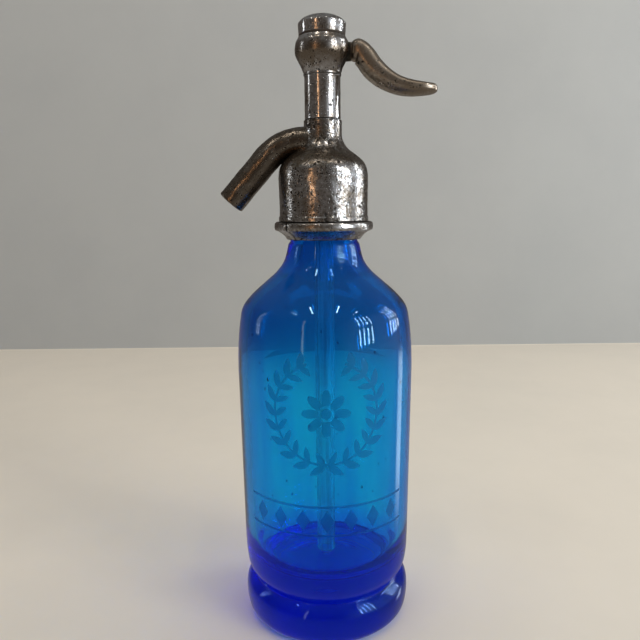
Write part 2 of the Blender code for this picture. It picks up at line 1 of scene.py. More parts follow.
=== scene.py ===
# %% [markdown]
# A glass soda siphon in Blender, piece by piece. A siphon is a heavy bottle that holds
# water under gas pressure, closed by a metal head. Pressing the thumb lever lifts a
# valve, and the gas drives the water up a glass tube and out of the spout. The packed
# CAD model is loaded as a fixed frame first. Every visible shell is then drawn again
# with fine curves, exactly where its solid stands, and each finish gets its own material.

# %% Load the frame
import json
import math

import bpy
import numpy as np
from mathutils import Matrix, Vector


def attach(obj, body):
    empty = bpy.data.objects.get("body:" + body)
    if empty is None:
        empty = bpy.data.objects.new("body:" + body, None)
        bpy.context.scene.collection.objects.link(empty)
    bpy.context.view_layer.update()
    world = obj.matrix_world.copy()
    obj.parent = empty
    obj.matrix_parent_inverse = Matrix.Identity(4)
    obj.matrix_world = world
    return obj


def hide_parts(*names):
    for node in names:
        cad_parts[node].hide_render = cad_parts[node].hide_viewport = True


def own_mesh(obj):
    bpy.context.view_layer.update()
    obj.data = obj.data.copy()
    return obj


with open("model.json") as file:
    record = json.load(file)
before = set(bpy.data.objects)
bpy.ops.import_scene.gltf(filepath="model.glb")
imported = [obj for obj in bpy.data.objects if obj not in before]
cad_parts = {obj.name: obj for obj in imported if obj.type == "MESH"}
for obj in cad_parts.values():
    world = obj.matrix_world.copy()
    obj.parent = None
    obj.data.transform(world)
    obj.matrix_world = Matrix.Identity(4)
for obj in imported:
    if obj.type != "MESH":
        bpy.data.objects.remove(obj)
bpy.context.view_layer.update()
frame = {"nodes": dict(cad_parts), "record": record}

# %% [markdown]
# All sizes below are in millimetres, as a draughtsman would write them, and become
# metres only when a mesh is made. The bottle's axis is Z, the lever points along +X and
# the spout along -X.

# %% Scale and seed
MM = 0.001
seed = 7
scene = bpy.context.scene
print("one unit of the drawings is", MM, "m")

# %% [markdown]
# The camera stands a little over a third of a metre in front of the bottle and looks
# slightly down. A wide lens this close makes the foot look smaller than it is and shows
# the head from a little below, so the place and the tilt matter more than the zoom.

# %% Camera
eye = Vector((-2.5, -345.5, 231.6)) * MM
pitch_down, roll = math.radians(10.43), math.radians(-0.6)
camera = bpy.data.objects.new("camera", bpy.data.cameras.new("camera"))
scene.collection.objects.link(camera)
camera.data.lens = camera.data.sensor_width = 36.0
camera.data.clip_start = 10.0 * MM
tilted = Matrix.Rotation(math.pi / 2.0 - pitch_down, 4, "X") @ Matrix.Rotation(roll, 4, "Z")
camera.matrix_world = Matrix.Translation(eye) @ tilted
bpy.context.scene.camera = camera
print("camera height in mm:", round(eye.z / MM, 1))

# %% [markdown]
# A curve through a few measured points is the drawing from which each turned piece is
# made. Catmull-Rom is the curve of choice here, because it passes through every point
# that was measured. Each stretch gets as many steps as its length needs.


# %% Curves through measured points
def steps_along(lengths, spacing, least):
    """For every step: the number of its stretch, and how far along it the step lies, from 0 to 1."""
    counts = np.maximum(np.ceil(lengths / spacing).astype(int), least)
    stretch = np.repeat(np.arange(len(lengths)), counts)
    first = np.repeat(np.cumsum(counts) - counts, counts)
    return stretch, ((np.arange(counts.sum()) - first) / counts[stretch])[:, None]


def curve_through(points, spacing):
    """Each stretch is a cubic that leaves a knot parallel to the line between the knot's
    neighbours: half of (2b + (c-a)t + (2a-5b+4c-d)t^2 + (3b-a-3c+d)t^3)."""
    knots = np.asarray(points, float)
    padded = np.vstack([knots[0], knots, knots[-1]])
    stretch, t = steps_along(np.linalg.norm(np.diff(knots, axis=0), axis=1), spacing, 2)
    a, b, c, d = (padded[stretch + step] for step in range(4))
    bend = (2 * a - 5 * b + 4 * c - d) * t**2 + (3 * b - a - 3 * c + d) * t**3
    return np.vstack([0.5 * (2 * b + (c - a) * t + bend), knots[-1]])


def rounded_corners(points, steps=5):
    """Points hold radius, height and rounding. Each corner becomes the curve
    (1-t)^2 start + 2t(1-t) corner + t^2 end, between places one rounding along its sides."""
    p = np.asarray(points, float)
    corner, reach = p[1:-1, :2], p[1:-1, 2]
    back, on = p[:-2, :2] - corner, p[2:, :2] - corner
    back_length = np.linalg.norm(back, axis=1)
    on_length = np.linalg.norm(on, axis=1)
    reach = np.minimum(reach, 0.48 * np.minimum(back_length, on_length))[:, None]
    start = (corner + back / back_length[:, None] * reach)[:, None]
    end = (corner + on / on_length[:, None] * reach)[:, None]
    t = np.linspace(0.0, 1.0, steps)[None, :, None]
    arcs = (1 - t) ** 2 * start + 2 * t * (1 - t) * corner[:, None] + t**2 * end
    return np.vstack([p[0, :2], arcs.reshape(-1, 2), p[-1, :2]])


def spaced(outline, spacing):
    """Splits each straight stretch longer than the spacing into equal parts."""
    outline = np.asarray(outline, float)
    lengths = np.linalg.norm(np.diff(outline, axis=0), axis=1)
    keep = lengths > 1e-6
    starts, ends = outline[:-1][keep], outline[1:][keep]
    stretch, t = steps_along(lengths[keep], spacing, 1)
    return np.vstack([starts[stretch] * (1 - t) + ends[stretch] * t, outline[-1]])


right_angle = rounded_corners([(0, 0, 0), (5, 0, 1), (5, 5, 0)])
print("a right angle rounded by 1 mm:", right_angle.round(2).tolist())

# %% [markdown]
# Every shell is a grid of points: one direction runs along the drawing, the other round
# the axis. Spin and Screw would make the same shape, but a grid of numbers can also be
# dented, split or given a window before it turns into faces. The helpers below join the
# grid into faces, close its poles, and turn the faces outwards if they came out inside
# out, which the sign of the enclosed volume tells.

# %% From grid to mesh
no_triangles = np.zeros((0, 3), int)


def numbered(rows, columns):
    """The points' numbers, with the first column again at the end, so that the grid closes."""
    numbers = np.arange(rows * columns).reshape(rows, columns)
    return np.hstack([numbers, numbers[:, :1]])


def grid_faces(numbers):
    """The four corners of each cell: along the columns first, then up the rows."""
    low, high = numbers[:-1], numbers[1:]
    return np.stack([low[:, :-1], low[:, 1:], high[:, 1:], high[:, :-1]], axis=-1).reshape(-1, 4)


def shell_faces(numbers, loop):
    """A loop joins its last row to its first. Any other shell ends in a pole at both its
    first and last row, which fans of triangles close."""
    if loop:
        return grid_faces(np.vstack([numbers, numbers[:1]])), no_triangles
    start, end = numbers[1], numbers[-2]
    first_fan = np.stack([np.full(len(start) - 1, numbers[0, 0]), start[1:], start[:-1]], axis=-1)
    last_fan = np.stack([end[:-1], end[1:], np.full(len(end) - 1, numbers[-1, 0])], axis=-1)
    return grid_faces(numbers[1:-1]), np.vstack([first_fan, last_fan])


def enclosed_volume(places, faces):
    """A sixth of the sum of a . (b x c) over the fan of triangles of every face."""
    total = 0.0
    for second in range(1, faces.shape[1] - 1):
        a, b, c = (places[faces[:, k]] for k in (0, second, second + 1))
        total += np.einsum("ij,ij->i", a, np.cross(b, c)).sum() / 6.0
    return total


def piece_from_faces(name, places, quads, triangles=no_triangles, caps=(), sharp=35.0):
    """Writes points in mm and face corners straight into a mesh, leaving out unused points.
    Edges that bend by more than the sharp angle in degrees stay crisp."""
    corners = np.concatenate([quads.ravel(), triangles.ravel(), *caps])
    sizes = np.array([4] * len(quads) + [3] * len(triangles) + [len(cap) for cap in caps])
    used, corners = np.unique(corners, return_inverse=True)
    mesh = bpy.data.meshes.new(name)
    mesh.vertices.add(len(used))
    mesh.vertices.foreach_set("co", (places[used] * MM).astype(np.float32).ravel())
    mesh.loops.add(len(corners))
    mesh.loops.foreach_set("vertex_index", corners.astype(np.int32))
    mesh.polygons.add(len(sizes))
    mesh.polygons.foreach_set("loop_start", (np.cumsum(sizes) - sizes).astype(np.int32))
    mesh.polygons.foreach_set("use_smooth", np.ones(len(sizes), bool))
    mesh.update(calc_edges=True)
    mesh.validate()
    mesh.set_sharp_from_angle(angle=math.radians(sharp))
    piece = bpy.data.objects.new(name, mesh)
    scene.collection.objects.link(piece)
    print(f"{name}: {len(mesh.polygons)} faces")
    return piece


def turned_outwards(name, places, quads, triangles=no_triangles, caps=()):
    """Faces that all point inwards enclose a negative volume, and are turned over."""
    if enclosed_volume(places, quads) + enclosed_volume(places, triangles) < 0.0:
        quads, triangles, caps = quads[:, ::-1], triangles[:, ::-1], [cap[::-1] for cap in caps]
    return piece_from_faces(name, places, quads, triangles, caps)


def surface(name, grid, loop=True, sawn=False):
    """A piece from a grid of places in mm, rows x columns x 3. A sawn piece stays open
    round the axis and gets a flat face at either end of its turn."""
    numbers = numbered(*grid.shape[:2])
    caps = []
    if sawn:
        numbers = numbers[:, :-1]
        caps = [numbers[:, 0], numbers[::-1, -1]]
    return turned_outwards(name, grid.reshape(-1, 3), *shell_faces(numbers, loop), caps)


def round_axis(outline, angle):
    """Each drawing point (r, z) goes to (r cos a, r sin a, z) for every angle a."""
    radius, height = outline[:, :1], outline[:, 1:]
    return np.stack(np.broadcast_arrays(radius * np.cos(angle), radius * np.sin(angle), height), axis=-1)


def turned_grid(outline, steps, start=0.0, sweep=360.0):
    """The drawing carried round the axis from a start, both angles in degrees."""
    share = np.arange(steps) / steps if sweep >= 360.0 else np.linspace(0.0, 1.0, steps)
    return round_axis(outline, np.radians(start + sweep * share))


print("a closed row of 3 points runs", numbered(1, 3)[0].tolist())

# %% [markdown]
# Old glass and old castings are never quite round. A sum of a few slow sine waves in
# space, each in its own direction, moves the surface in and out by a fraction of a
# millimetre, which is what makes reflections wander.


# %% Uneven surfaces
def slow_waves(grid, size, stretch=(1.0, 1.0, 1.0), waves=14, salt=0):
    """The mean of sines of (direction . place * 2 pi / size + phase), from -1 to 1."""
    rng = np.random.default_rng(seed + salt)
    directions = rng.normal(size=(waves, 3))
    directions /= np.linalg.norm(directions, axis=1, keepdims=True)
    directions *= rng.uniform(0.6, 1.5, size=(waves, 1)) / np.asarray(stretch)
    phase = grid.reshape(-1, 3) @ directions.T * (2.0 * np.pi / size)
    swell = np.sin(phase + rng.uniform(0.0, 2.0 * np.pi, waves)).mean(axis=1) * 2.0
    return swell.reshape(grid.shape[:2])


def pushed_out(grid, amount):
    """Moves each place away from the Z axis by the amount given for it."""
    flat = grid[..., :2]
    reach = np.maximum(np.linalg.norm(flat, axis=-1), 1e-6)
    moved = grid.copy()
    moved[..., :2] = flat * (1.0 + np.asarray(amount) / reach)[..., None]
    return moved


print("waves at three places:", slow_waves(np.arange(9.0).reshape(1, 3, 3), 40.0).round(2).tolist())

# %% [markdown]
# The bottle is thick moulded glass: a broad foot with a waist above it, a long body that
# widens by a millimetre, a steep shoulder and a short neck with a lip under which the
# metal ring grips. The drawing runs from the middle of the base up the outside, over the
# lip, and down the inside to the floor, so one closed surface holds the whole wall and
# light bends where it really enters and leaves the glass.

# %% Bottle drawing
base = curve_through([(0, 1.7), (14, 1.6), (27, 1.1), (34, 0.35), (37.4, 0.0), (39.6, 0.12), (42.42, 0.94),
                      (45.54, 4.7), (46.6, 11.75), (46.14, 17.86), (43.93, 21.62), (42.0, 23.5),
                      (43.08, 25.58), (45.28, 31.3), (46.19, 39.1), (46.5, 49.5)], 1.0)
body = spaced([(46.5, 49.5), (47.7, 143.5)], 1.8)
shoulder = curve_through([(47.7, 143.5), (47.3, 156.1), (46.0, 168.66), (44.11, 176.6), (38.8, 183.22),
                          (31.34, 189.84), (25.46, 195.14), (21.3, 201.1), (19.0, 209.7)], 1.5)
lip = rounded_corners([(19.0, 209.7, 0), (17.8, 211.5, 1.5), (17.8, 229.5, 1.0), (20.8, 229.5, 1.4),
                       (20.8, 235.1, 1.6), (11.5, 235.1, 1.8), (11.5, 222.0, 0)], 6)
hollow = curve_through([(11.5, 222.0), (11.5, 209.4), (13.98, 200.56), (18.48, 194.44), (24.83, 189.0),
                        (32.89, 182.2), (38.6, 175.4), (40.67, 167.2), (42.07, 154.3), (42.5, 141.4)], 1.5)
inner_wall = spaced([(42.5, 141.4), (41.4, 58.0)], 1.8)
floor_curve = curve_through([(41.4, 58.0), (41.2, 50.0), (40.2, 44.0), (37.6, 39.2), (33.6, 35.9),
                             (28.6, 33.6), (23.0, 32.3), (17.0, 31.8), (8.0, 31.7), (3.6, 31.9),
                             (2.2, 32.6), (0.0, 33.0)], 1.0)
wall_parts = (body, shoulder, lip, hollow, inner_wall, floor_curve)
bottle_outline = np.vstack([base, *(part[1:] for part in wall_parts)])
print("bottle drawing:", len(bottle_outline), "points, tallest", bottle_outline[:, 1].max())

# %% [markdown]
# The outside of a moulded bottle is nearly true, but the inside was shaped by air alone,
# so its wall runs in long upright waves. Those waves bend what is seen through the
# bottle into streaks. Small bubbles caught in the wall are closed hollows inside the
# same mesh, with their faces turned towards the air they hold.


# %% Bottle
def bubble_shells(count, steps=10):
    """Unit spheres, stretched upwards, scattered in the middle of the wall of the body."""
    rng = np.random.default_rng(seed + 90)
    height = rng.uniform(45.0, 172.0, count)
    middle = np.interp(height, [45.0, 143.0, 160.0, 172.0], [43.9, 45.1, 44.2, 42.6])
    angle = rng.uniform(0.0, 2.0 * np.pi, count)
    size = rng.uniform(0.22, 0.75, count)
    up = np.linspace(0.0, np.pi, steps // 2 + 2)
    unit = turned_grid(np.stack([np.sin(up), np.cos(up)], axis=-1), steps)
    centre = np.stack([middle * np.cos(angle), middle * np.sin(angle), height], axis=-1)
    shape = size[:, None] * np.array([1.0, 1.0, 1.5])
    return unit * shape[:, None, None, :] + centre[:, None, None, :]


def with_bubbles(places, quads, triangles, bubbles):
    """Puts each bubble's places and faces behind the rest. Its rows run downwards, so its
    faces point inwards."""
    count, rows, columns = bubbles.shape[:3]
    first = (len(places) + np.arange(count) * rows * columns)[:, None, None]
    bubble_quads, bubble_triangles = shell_faces(numbered(rows, columns), loop=False)
    return (np.vstack([places, bubbles.reshape(-1, 3)]),
            np.vstack([quads, (bubble_quads + first).reshape(-1, 4)]),
            np.vstack([triangles, (bubble_triangles + first).reshape(-1, 3)]))


bottle_grid = turned_grid(bottle_outline, 216)
inside_rows = np.arange(len(bottle_outline))[:, None] > len(base) + len(body) + len(shoulder) + len(lip)
away_from_axis = np.clip(bottle_outline[:, :1] / 20.0, 0.0, 1.0) ** 2
on_body = np.clip((bottle_outline[:, 1:] - 20.0) / 20.0, 0.0, 1.0)
on_body *= np.clip((205.0 - bottle_outline[:, 1:]) / 20.0, 0.0, 1.0)
streaks = slow_waves(bottle_grid, 34.0, stretch=(1.0, 1.0, 4.5), salt=3)
ripples = slow_waves(bottle_grid, 60.0, stretch=(1.0, 1.0, 1.6), salt=4)
fine_streaks = slow_waves(bottle_grid, 13.0, stretch=(1.0, 1.0, 7.0), waves=20, salt=5)
inside_push = 0.14 * streaks + 0.12 * ripples + 0.045 * fine_streaks
push = np.where(inside_rows, inside_push, 0.05 * ripples) * away_from_axis * on_body
bottle_grid = pushed_out(bottle_grid, push)
quads, triangles = shell_faces(numbered(*bottle_grid.shape[:2]), loop=False)
places, quads, triangles = with_bubbles(bottle_grid.reshape(-1, 3), quads, triangles, bubble_shells(46))
bottle = piece_from_faces("bottle_glass", places, quads, triangles, sharp=60.0)
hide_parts("bottle")
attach(bottle, "siphon")
glass_volume = enclosed_volume(places, quads) + enclosed_volume(places, triangles)
print("glass volume in ml:", round(glass_volume / 1000, 1))

# %% [markdown]
# The dip tube is a plain clear glass tube that hangs from a flange over the bottle's
# mouth and ends just above the floor. A tube drawn by a machine is straight but its bore
# wanders a little, so the inside gets slow waves of a tenth of a millimetre.

# %% Dip tube
tube_outline = rounded_corners([(4.3, 34.0, 0), (5.25, 34.0, 0.5), (5.25, 238.4, 0.4), (8.0, 238.4, 0.4),
                                (8.0, 240.4, 0.4), (3.4, 240.4, 0.4), (3.4, 34.0, 0.4), (4.3, 34.0, 0)], 5)
tube_outline = spaced(tube_outline, 3.0)[:-1]
tube_grid = turned_grid(tube_outline, 64)
bore = (tube_outline[:, :1] < 4.0) & (tube_outline[:, 1:] > 40.0)
bore_waves = 0.12 * slow_waves(tube_grid, 12.0, (1, 1, 6.0), salt=8)
dip_tube = surface("dip_tube_glass", pushed_out(tube_grid, np.where(bore, bore_waves, 0.0)))
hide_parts("dip_tube")
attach(dip_tube, "siphon")

# %% [markdown]
# The neck ring is turned from one bar, then sawn into two halves that close round the
# glass neck under its lip, and the head screws onto them. Its outside is a hollow cone
# that spreads into a thick rounded flange. Each half is the same drawing carried through
# a little less than half a turn, with its sawn ends closed.

# %% Neck ring halves
cone = curve_through([(19.75, 212.4), (20.35, 213.4), (21.52, 214.75), (23.48, 216.15), (25.0, 216.9)], 0.35)
flange = rounded_corners([(25.0, 216.9, 0), (26.0, 217.2, 0.8), (26.4, 219.4, 1.9), (25.7, 221.5, 1.3),
                          (21.05, 221.5, 0.2), (21.05, 229.2, 0.3), (18.1, 229.2, 0.3),
                          (18.1, 212.4, 0.3), (19.5, 212.4, 0)], 6)
ring_outline = spaced(np.vstack([cone, flange[1:]]), 1.2)
split_angle = 43.0
gap_angle = math.degrees(0.45 / 23.0)
for half, turn in (("front", 180.0), ("rear", 0.0)):
    grid = turned_grid(ring_outline, 120, split_angle + turn + gap_angle, 180.0 - 2.0 * gap_angle)
    grid = pushed_out(grid, 0.05 * slow_waves(grid, 9.0, salt=11))
    ring = surface("neck_ring_" + half + "_shell", grid, sawn=True)
    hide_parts("neck_ring_" + half)
    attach(ring, "siphon")

# %% [markdown]
# The head body is a cast bell with a threaded skirt, a domed shoulder and the lower half
# of the column. A thin rolled bead finishes the skirt's edge. Years of hands and knocks
# have left the skirt slightly dented, so a gentle unevenness of a tenth of a millimetre
# or so breaks up the reflections without changing the outline.

# %% Head body
bead = rounded_corners([(21.35, 221.72, 0), (23.7, 221.72, 0.5), (23.7, 224.0, 0.7), (23.3, 224.5, 0.3),
                        (23.4, 236.0, 0)], 6)
dome = curve_through([(23.4, 236.0), (23.5, 243.0), (23.4, 246.6), (22.75, 249.4), (21.4, 251.9),
                      (19.2, 254.2), (16.3, 256.5), (13.4, 258.7), (11.5, 261.2),
                      (10.3, 264.0), (9.9, 267.2)], 0.5)
throat = rounded_corners([(9.9, 267.2, 0), (9.9, 273.3, 0.35), (6.8, 273.3, 0.2), (6.8, 268.7, 0.1),
                          (5.6, 268.7, 0.2), (5.6, 248.1, 0.2), (6.3, 248.1, 0.1), (6.3, 241.9, 0.1),
                          (8.3, 241.9, 0.1), (8.3, 238.4, 0.1), (21.35, 238.4, 0.3), (21.35, 221.72, 0)], 4)
bell = np.vstack([bead, dome[1:]])
head_outline = spaced(np.vstack([bell, throat[1:-1]]), 1.0)
head_grid = turned_grid(head_outline, 176)
outer_rows = np.arange(len(head_outline))[:, None] < len(spaced(bell, 1.0))
dents = 0.12 * slow_waves(head_grid, 14.0, stretch=(1, 1, 1.8), salt=21)
dents += 0.07 * slow_waves(head_grid, 5.0, salt=22)
head_body = surface("head_body_shell", pushed_out(head_grid, np.where(outer_rows, dents, 0.0)))
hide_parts("head_body")
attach(head_body, "siphon")

# %% [markdown]
# The lever housing is the upper half of the column with a bulb on top. A slot in the
# bulb lets the lever's tongue reach the valve stem inside, so this shell needs a window
# with real edges. The columns of its grid are bent to follow the slot's straight sides,
# the cells in the slot are left out outside and inside, and a strip of wall joins the
# two openings. A Boolean would do the same, but would leave ragged faces on a curved bulb.


# %% Shell with a window
def rim(block):
    """The numbers round a block of points: along its first row, up its last column, and back."""
    return np.concatenate([block[0], block[1:, -1], block[-1, -2::-1], block[-2::-1, 0]])


def windowed_shell(outline, steps, half_width, outer_start, inner_start, span, window_columns):
    """The angle of a column is bent so that column k of the window keeps y = half width:
    edge angle = asin(half width / radius). The window covers a span of the drawing's rows
    from its outer start and, downwards, from its inner start."""
    edge = np.arcsin(np.clip(half_width / outline[:, :1], 0.0, 0.8))
    k = np.arange(-steps // 2, steps // 2)
    within = np.abs(k) <= window_columns
    rest = (np.abs(k) - window_columns) / (steps / 2 - window_columns)
    angle = np.where(within, edge * k / window_columns, np.sign(k) * (edge + (np.pi - edge) * rest))
    numbers = numbered(len(outline), steps)
    numbers = np.vstack([numbers, numbers[:1]])
    left, right = steps // 2 - window_columns, steps // 2 + window_columns
    keep = np.ones((len(outline), steps), bool)
    openings = []
    for start in (outer_start, inner_start):
        keep[start : start + span, left:right] = False
        openings.append(numbers[start : start + span + 1, left : right + 1])
    wall = grid_faces(np.stack([rim(openings[0]), rim(openings[1][::-1])]))
    return round_axis(outline, angle).reshape(-1, 3), np.vstack([grid_faces(numbers)[keep.ravel()], wall])


slot_low, slot_high, slot_half = 297.5, 312.5, 2.7
print("slot opens over", slot_high - slot_low, "mm")

# %% Lever housing drawing
cavity, pocket, pocket_floor = 6.6, 8.6, 308.5
column = rounded_corners([(6.5, 270.4, 0), (6.5, 273.6, 0.1), (9.3, 273.6, 0.35), (9.3, 285.0, 0)], 5)
neck_bead = curve_through([(9.3, 285.0), (9.3, 294.2), (9.45, 294.8), (9.72, 295.4), (9.75, 296.0),
                           (9.62, 296.5)], 0.4)
bulb = curve_through([(9.62, 296.5), (9.9, 297.1), (10.45, 298.4), (11.0, 299.72), (12.5, 302.54),
                      (13.77, 305.35), (14.0, 307.82), (13.47, 311.16), (12.75, 312.5), (12.4, 313.1)], 0.5)
mouth = rounded_corners([(12.4, 313.1, 0), (12.0, 314.05, 0.4), (pocket, 314.05, 0.3),
                         (pocket, pocket_floor, 0.1), (cavity, pocket_floor, 0.1), (cavity, 297.2, 0.3),
                         (2.8, 297.2, 0.2), (2.8, 273.7, 0.2), (5.3, 273.7, 0.1), (5.3, 270.4, 0.1),
                         (6.5, 270.4, 0)], 4)
outside = spaced(np.vstack([column, neck_bead[1:], bulb[1:]]), 0.8)
inside = spaced(mouth[1:-1], 0.8)
outer_start = int((outside[:, 1] < slot_low).sum())
bulb_rows = outside[outer_start - 1 :]
crossed = (bulb_rows[:, 1] > slot_low) & (bulb_rows[:, 1] < slot_high)
slot_heights = np.concatenate([[slot_low], bulb_rows[crossed, 1], [slot_high]])
slot_rows = np.stack([np.interp(slot_heights, bulb_rows[:, 1], bulb_rows[:, 0]), slot_heights], axis=-1)
outside = np.vstack([outside[:outer_start], slot_rows, bulb_rows[bulb_rows[:, 1] > slot_high]])
print("slot crosses", len(slot_heights), "rows of the bulb")

# %% [markdown]
# The slot is taller than the plain part of the cavity, so inside the bulb it also cuts
# the pocket that takes the cap's thread. The inner drawing steps out there, and the
# rows of the window simply follow it, whatever the radius is.

# %% Lever housing
bore_rows = np.array([(pocket if z > pocket_floor else cavity, z) for z in slot_heights[::-1]])
inner_above = inside[inside[:, 1] > slot_high]
inner_below = inside[(inside[:, 1] < slot_low) | ((inside[:, 0] < 6.5) & (inside[:, 1] < 300.0))]
housing_outline = np.vstack([outside, inner_above, bore_rows, inner_below])
inner_start = len(outside) + len(inner_above)
housing_places, housing_quads = windowed_shell(housing_outline, 160, slot_half, outer_start, inner_start,
                                               len(slot_heights) - 1, window_columns=6)
housing = turned_outwards("lever_housing_shell", housing_places, housing_quads)
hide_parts("lever_housing")
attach(housing, "siphon")

# %% [markdown]
# The cap closes the bulb and holds the valve spring down. Its side is almost straight
# and flares by a hair towards the top, where a crisp edge meets a low crown. A thin fibre
# washer under it shows as a dark line.

# %% Cap and its washer
crown = curve_through([(0.0, 324.6), (4.2, 324.3), (8.1, 323.2), (10.6, 321.9), (11.55, 320.75)], 0.5)
cap_side = rounded_corners([(11.55, 320.75, 0), (12.1, 320.45, 0.25), (12.2, 319.9, 0.35), (12.0, 316.4, 2.0),
                            (11.95, 314.95, 0.15), (8.3, 314.95, 0.1), (8.3, 308.8, 0.3), (6.6, 308.8, 0.2),
                            (6.6, 321.4, 0.4), (0.0, 321.4, 0)], 6)
cap_outline = spaced(np.vstack([crown, cap_side[1:]]), 0.7)
cap_grid = turned_grid(cap_outline, 144)
cap_wear = np.clip(cap_outline[:, :1] / 6.0, 0.0, 1.0) * (0.05 * slow_waves(cap_grid, 7.0, salt=31))
cap = surface("cap_shell", pushed_out(cap_grid, cap_wear), loop=False)
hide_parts("cap")
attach(cap, "siphon")
washer_outline = rounded_corners([(10.0, 314.1, 0), (11.9, 314.1, 0.2), (11.9, 314.9, 0.2),
                                  (8.6, 314.9, 0.15), (8.6, 314.1, 0.15), (10.0, 314.1, 0)], 4)[:-1]
washer_grid = turned_grid(washer_outline, 96)
cap_washer = surface("cap_washer", pushed_out(washer_grid, 0.08 * slow_waves(washer_grid, 5.0, salt=33)))
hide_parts("cap_gasket")
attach(cap_washer, "siphon")

# %% [markdown]
# The spout is a drawn tube, bent once in a former and soldered into the column. Its
# drawing is a closed loop of distance along the tube and radius: down the outside, round
# the rim, and back up the bore. Each row is a circle set square to the bent centre line.

# %% Places along the bent tube
bend_radius, fall = 26.0, math.radians(48.6)
sideways = np.array([[0.0, 1.0, 0.0]])


def along_spout(distance):
    """A straight start along -X, then an arc that falls, then a straight run. Gives the
    centre and the direction for each distance."""
    turn = np.clip(distance / bend_radius, 0.0, fall)
    past = np.clip(distance - bend_radius * fall, 0.0, None)
    before = np.clip(distance, None, 0.0)
    x = -9.9 - before - bend_radius * np.sin(turn) - past * math.cos(fall)
    z = 263.0 - bend_radius * (1.0 - np.cos(turn)) - past * math.sin(fall)
    still = np.zeros_like(x)
    return np.stack([x, still, z], axis=-1), np.stack([-np.cos(turn), still, -np.sin(turn)], axis=-1)


def rings(centre, side, up, radius, steps):
    """Row = centre + radius * (cos a * side + sin a * up), a circle round each centre."""
    angle = (np.arange(steps) * 2.0 * np.pi / steps)[None, :, None]
    circle = np.cos(angle) * side[:, None] + np.sin(angle) * up[:, None]
    return centre[:, None] + radius[:, None, None] * circle


spout_end = bend_radius * fall + 29.9
print("spout is", round(spout_end, 1), "mm long from the column")

# %% Spout
solder = curve_through([(-3.1, 7.5), (-1.0, 7.45), (1.4, 7.3), (6.0, 7.2)], 0.5)
spout_stations = rounded_corners([(6.0, 7.2, 0), (spout_end, 7.2, 0.9), (spout_end, 4.6, 0.7),
                                  (2.0, 4.6, 0.5), (0.3, 3.9, 0.3), (-3.9, 3.9, 0.1), (-3.9, 4.9, 0.1),
                                  (-3.4, 4.9, 0.1), (-3.3, 7.3, 0.1), (-3.1, 7.5, 0)], 6)
spout_stations = spaced(np.vstack([solder, spout_stations[1:-1]]), 0.8)
spout_middle, spout_way = along_spout(spout_stations[:, 0])
spout_grid = rings(spout_middle, sideways, np.cross(spout_way, sideways), spout_stations[:, 1], 96)
on_outside = (spout_stations[:, 1] > 6.9)[:, None]
spout_dents = 0.10 * slow_waves(spout_grid, 13.0, salt=41) + 0.06 * slow_waves(spout_grid, 5.0, salt=42)
swollen = (1.0 + np.where(on_outside, spout_dents / 7.2, 0.0))[..., None]
spout_grid = spout_middle[:, None] + (spout_grid - spout_middle[:, None]) * swollen
spout = surface("spout_tube", spout_grid)
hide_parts("spout")
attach(spout, "siphon")

# %% [markdown]
# The thumb lever is forged: a flat tongue and a round knuckle inside the housing, a
# narrow tang in the slot, then a sudden broad shoulder from which the arm sweeps out and
# down to a thin worn tip. It is one loft through a list of stations. Each gives the
# place along X, the centre's height, the half height, the half width and how square the
# section is, from a circle to nearly a box. Two last numbers, which are 1 where they are
# left out, flatten the top and say how much of the half height counts below the centre.

# %% Lever stations
lever_stations = np.array([(*row, 1.0, 1.0)[:7] for row in (
    (-1.50, 305.53, 0.15, 1.90, 2.4), (-1.30, 305.53, 0.75, 2.20, 2.8), (-0.80, 305.53, 1.25, 2.35, 3.6),
    (0.20, 305.53, 1.50, 2.40, 5.0), (5.00, 305.53, 1.50, 2.40, 5.0), (6.60, 305.53, 1.62, 2.40, 5.0),
    (7.60, 305.53, 2.30, 2.40, 5.0), (8.60, 305.60, 2.95, 2.40, 5.0), (9.80, 305.90, 3.55, 2.40, 5.0),
    (10.90, 306.55, 4.40, 2.40, 5.0), (12.00, 306.80, 4.60, 2.40, 5.0), (14.50, 306.85, 4.40, 2.40, 5.0),
    (14.85, 306.87, 4.35, 2.70, 4.0, 0.95), (15.10, 306.90, 4.40, 3.55, 3.0, 0.88),
    (15.45, 307.00, 4.65, 4.35, 2.5, 0.84), (16.00, 307.10, 5.05, 5.00, 2.3, 0.80),
    (17.00, 307.05, 5.60, 5.55, 2.2, 0.76, 0.92), (18.60, 306.60, 6.20, 6.00, 2.15, 0.72, 0.84),
    (21.56, 303.05, 6.69, 6.55, 2.1, 0.68, 0.74), (25.40, 298.75, 6.21, 6.83, 2.05, 0.64, 0.88),
    (29.80, 295.05, 5.66, 7.05, 2.0, 0.60, 0.96), (34.70, 292.10, 4.97, 7.28, 2.0, 0.58),
    (40.05, 289.90, 4.49, 7.50, 2.0, 0.56), (46.30, 288.75, 3.93, 7.50, 2.0, 0.55),
    (52.40, 288.40, 3.24, 6.98, 2.0, 0.55), (56.20, 288.40, 2.70, 5.60, 2.2, 0.6),
    (58.00, 288.60, 2.15, 4.10, 2.4, 0.7), (58.70, 288.75, 1.45, 2.80, 2.4, 0.8),
    (58.90, 288.80, 0.4, 1.0, 2.2))])
print("lever reaches", lever_stations[-1, 0], "mm from the bottle's axis")

# %% [markdown]
# The top of the arm is flatter than its underside, because the thumb rests there: the
# upper half of each section is the sine of the angle raised to a power below one, which
# leaves a soft ridge along both upper edges that catches the light.

# %% Thumb lever
forward = np.array([1.0, 0.0, 0.0])
arm_start, arm_ease = 17.0, 4.0


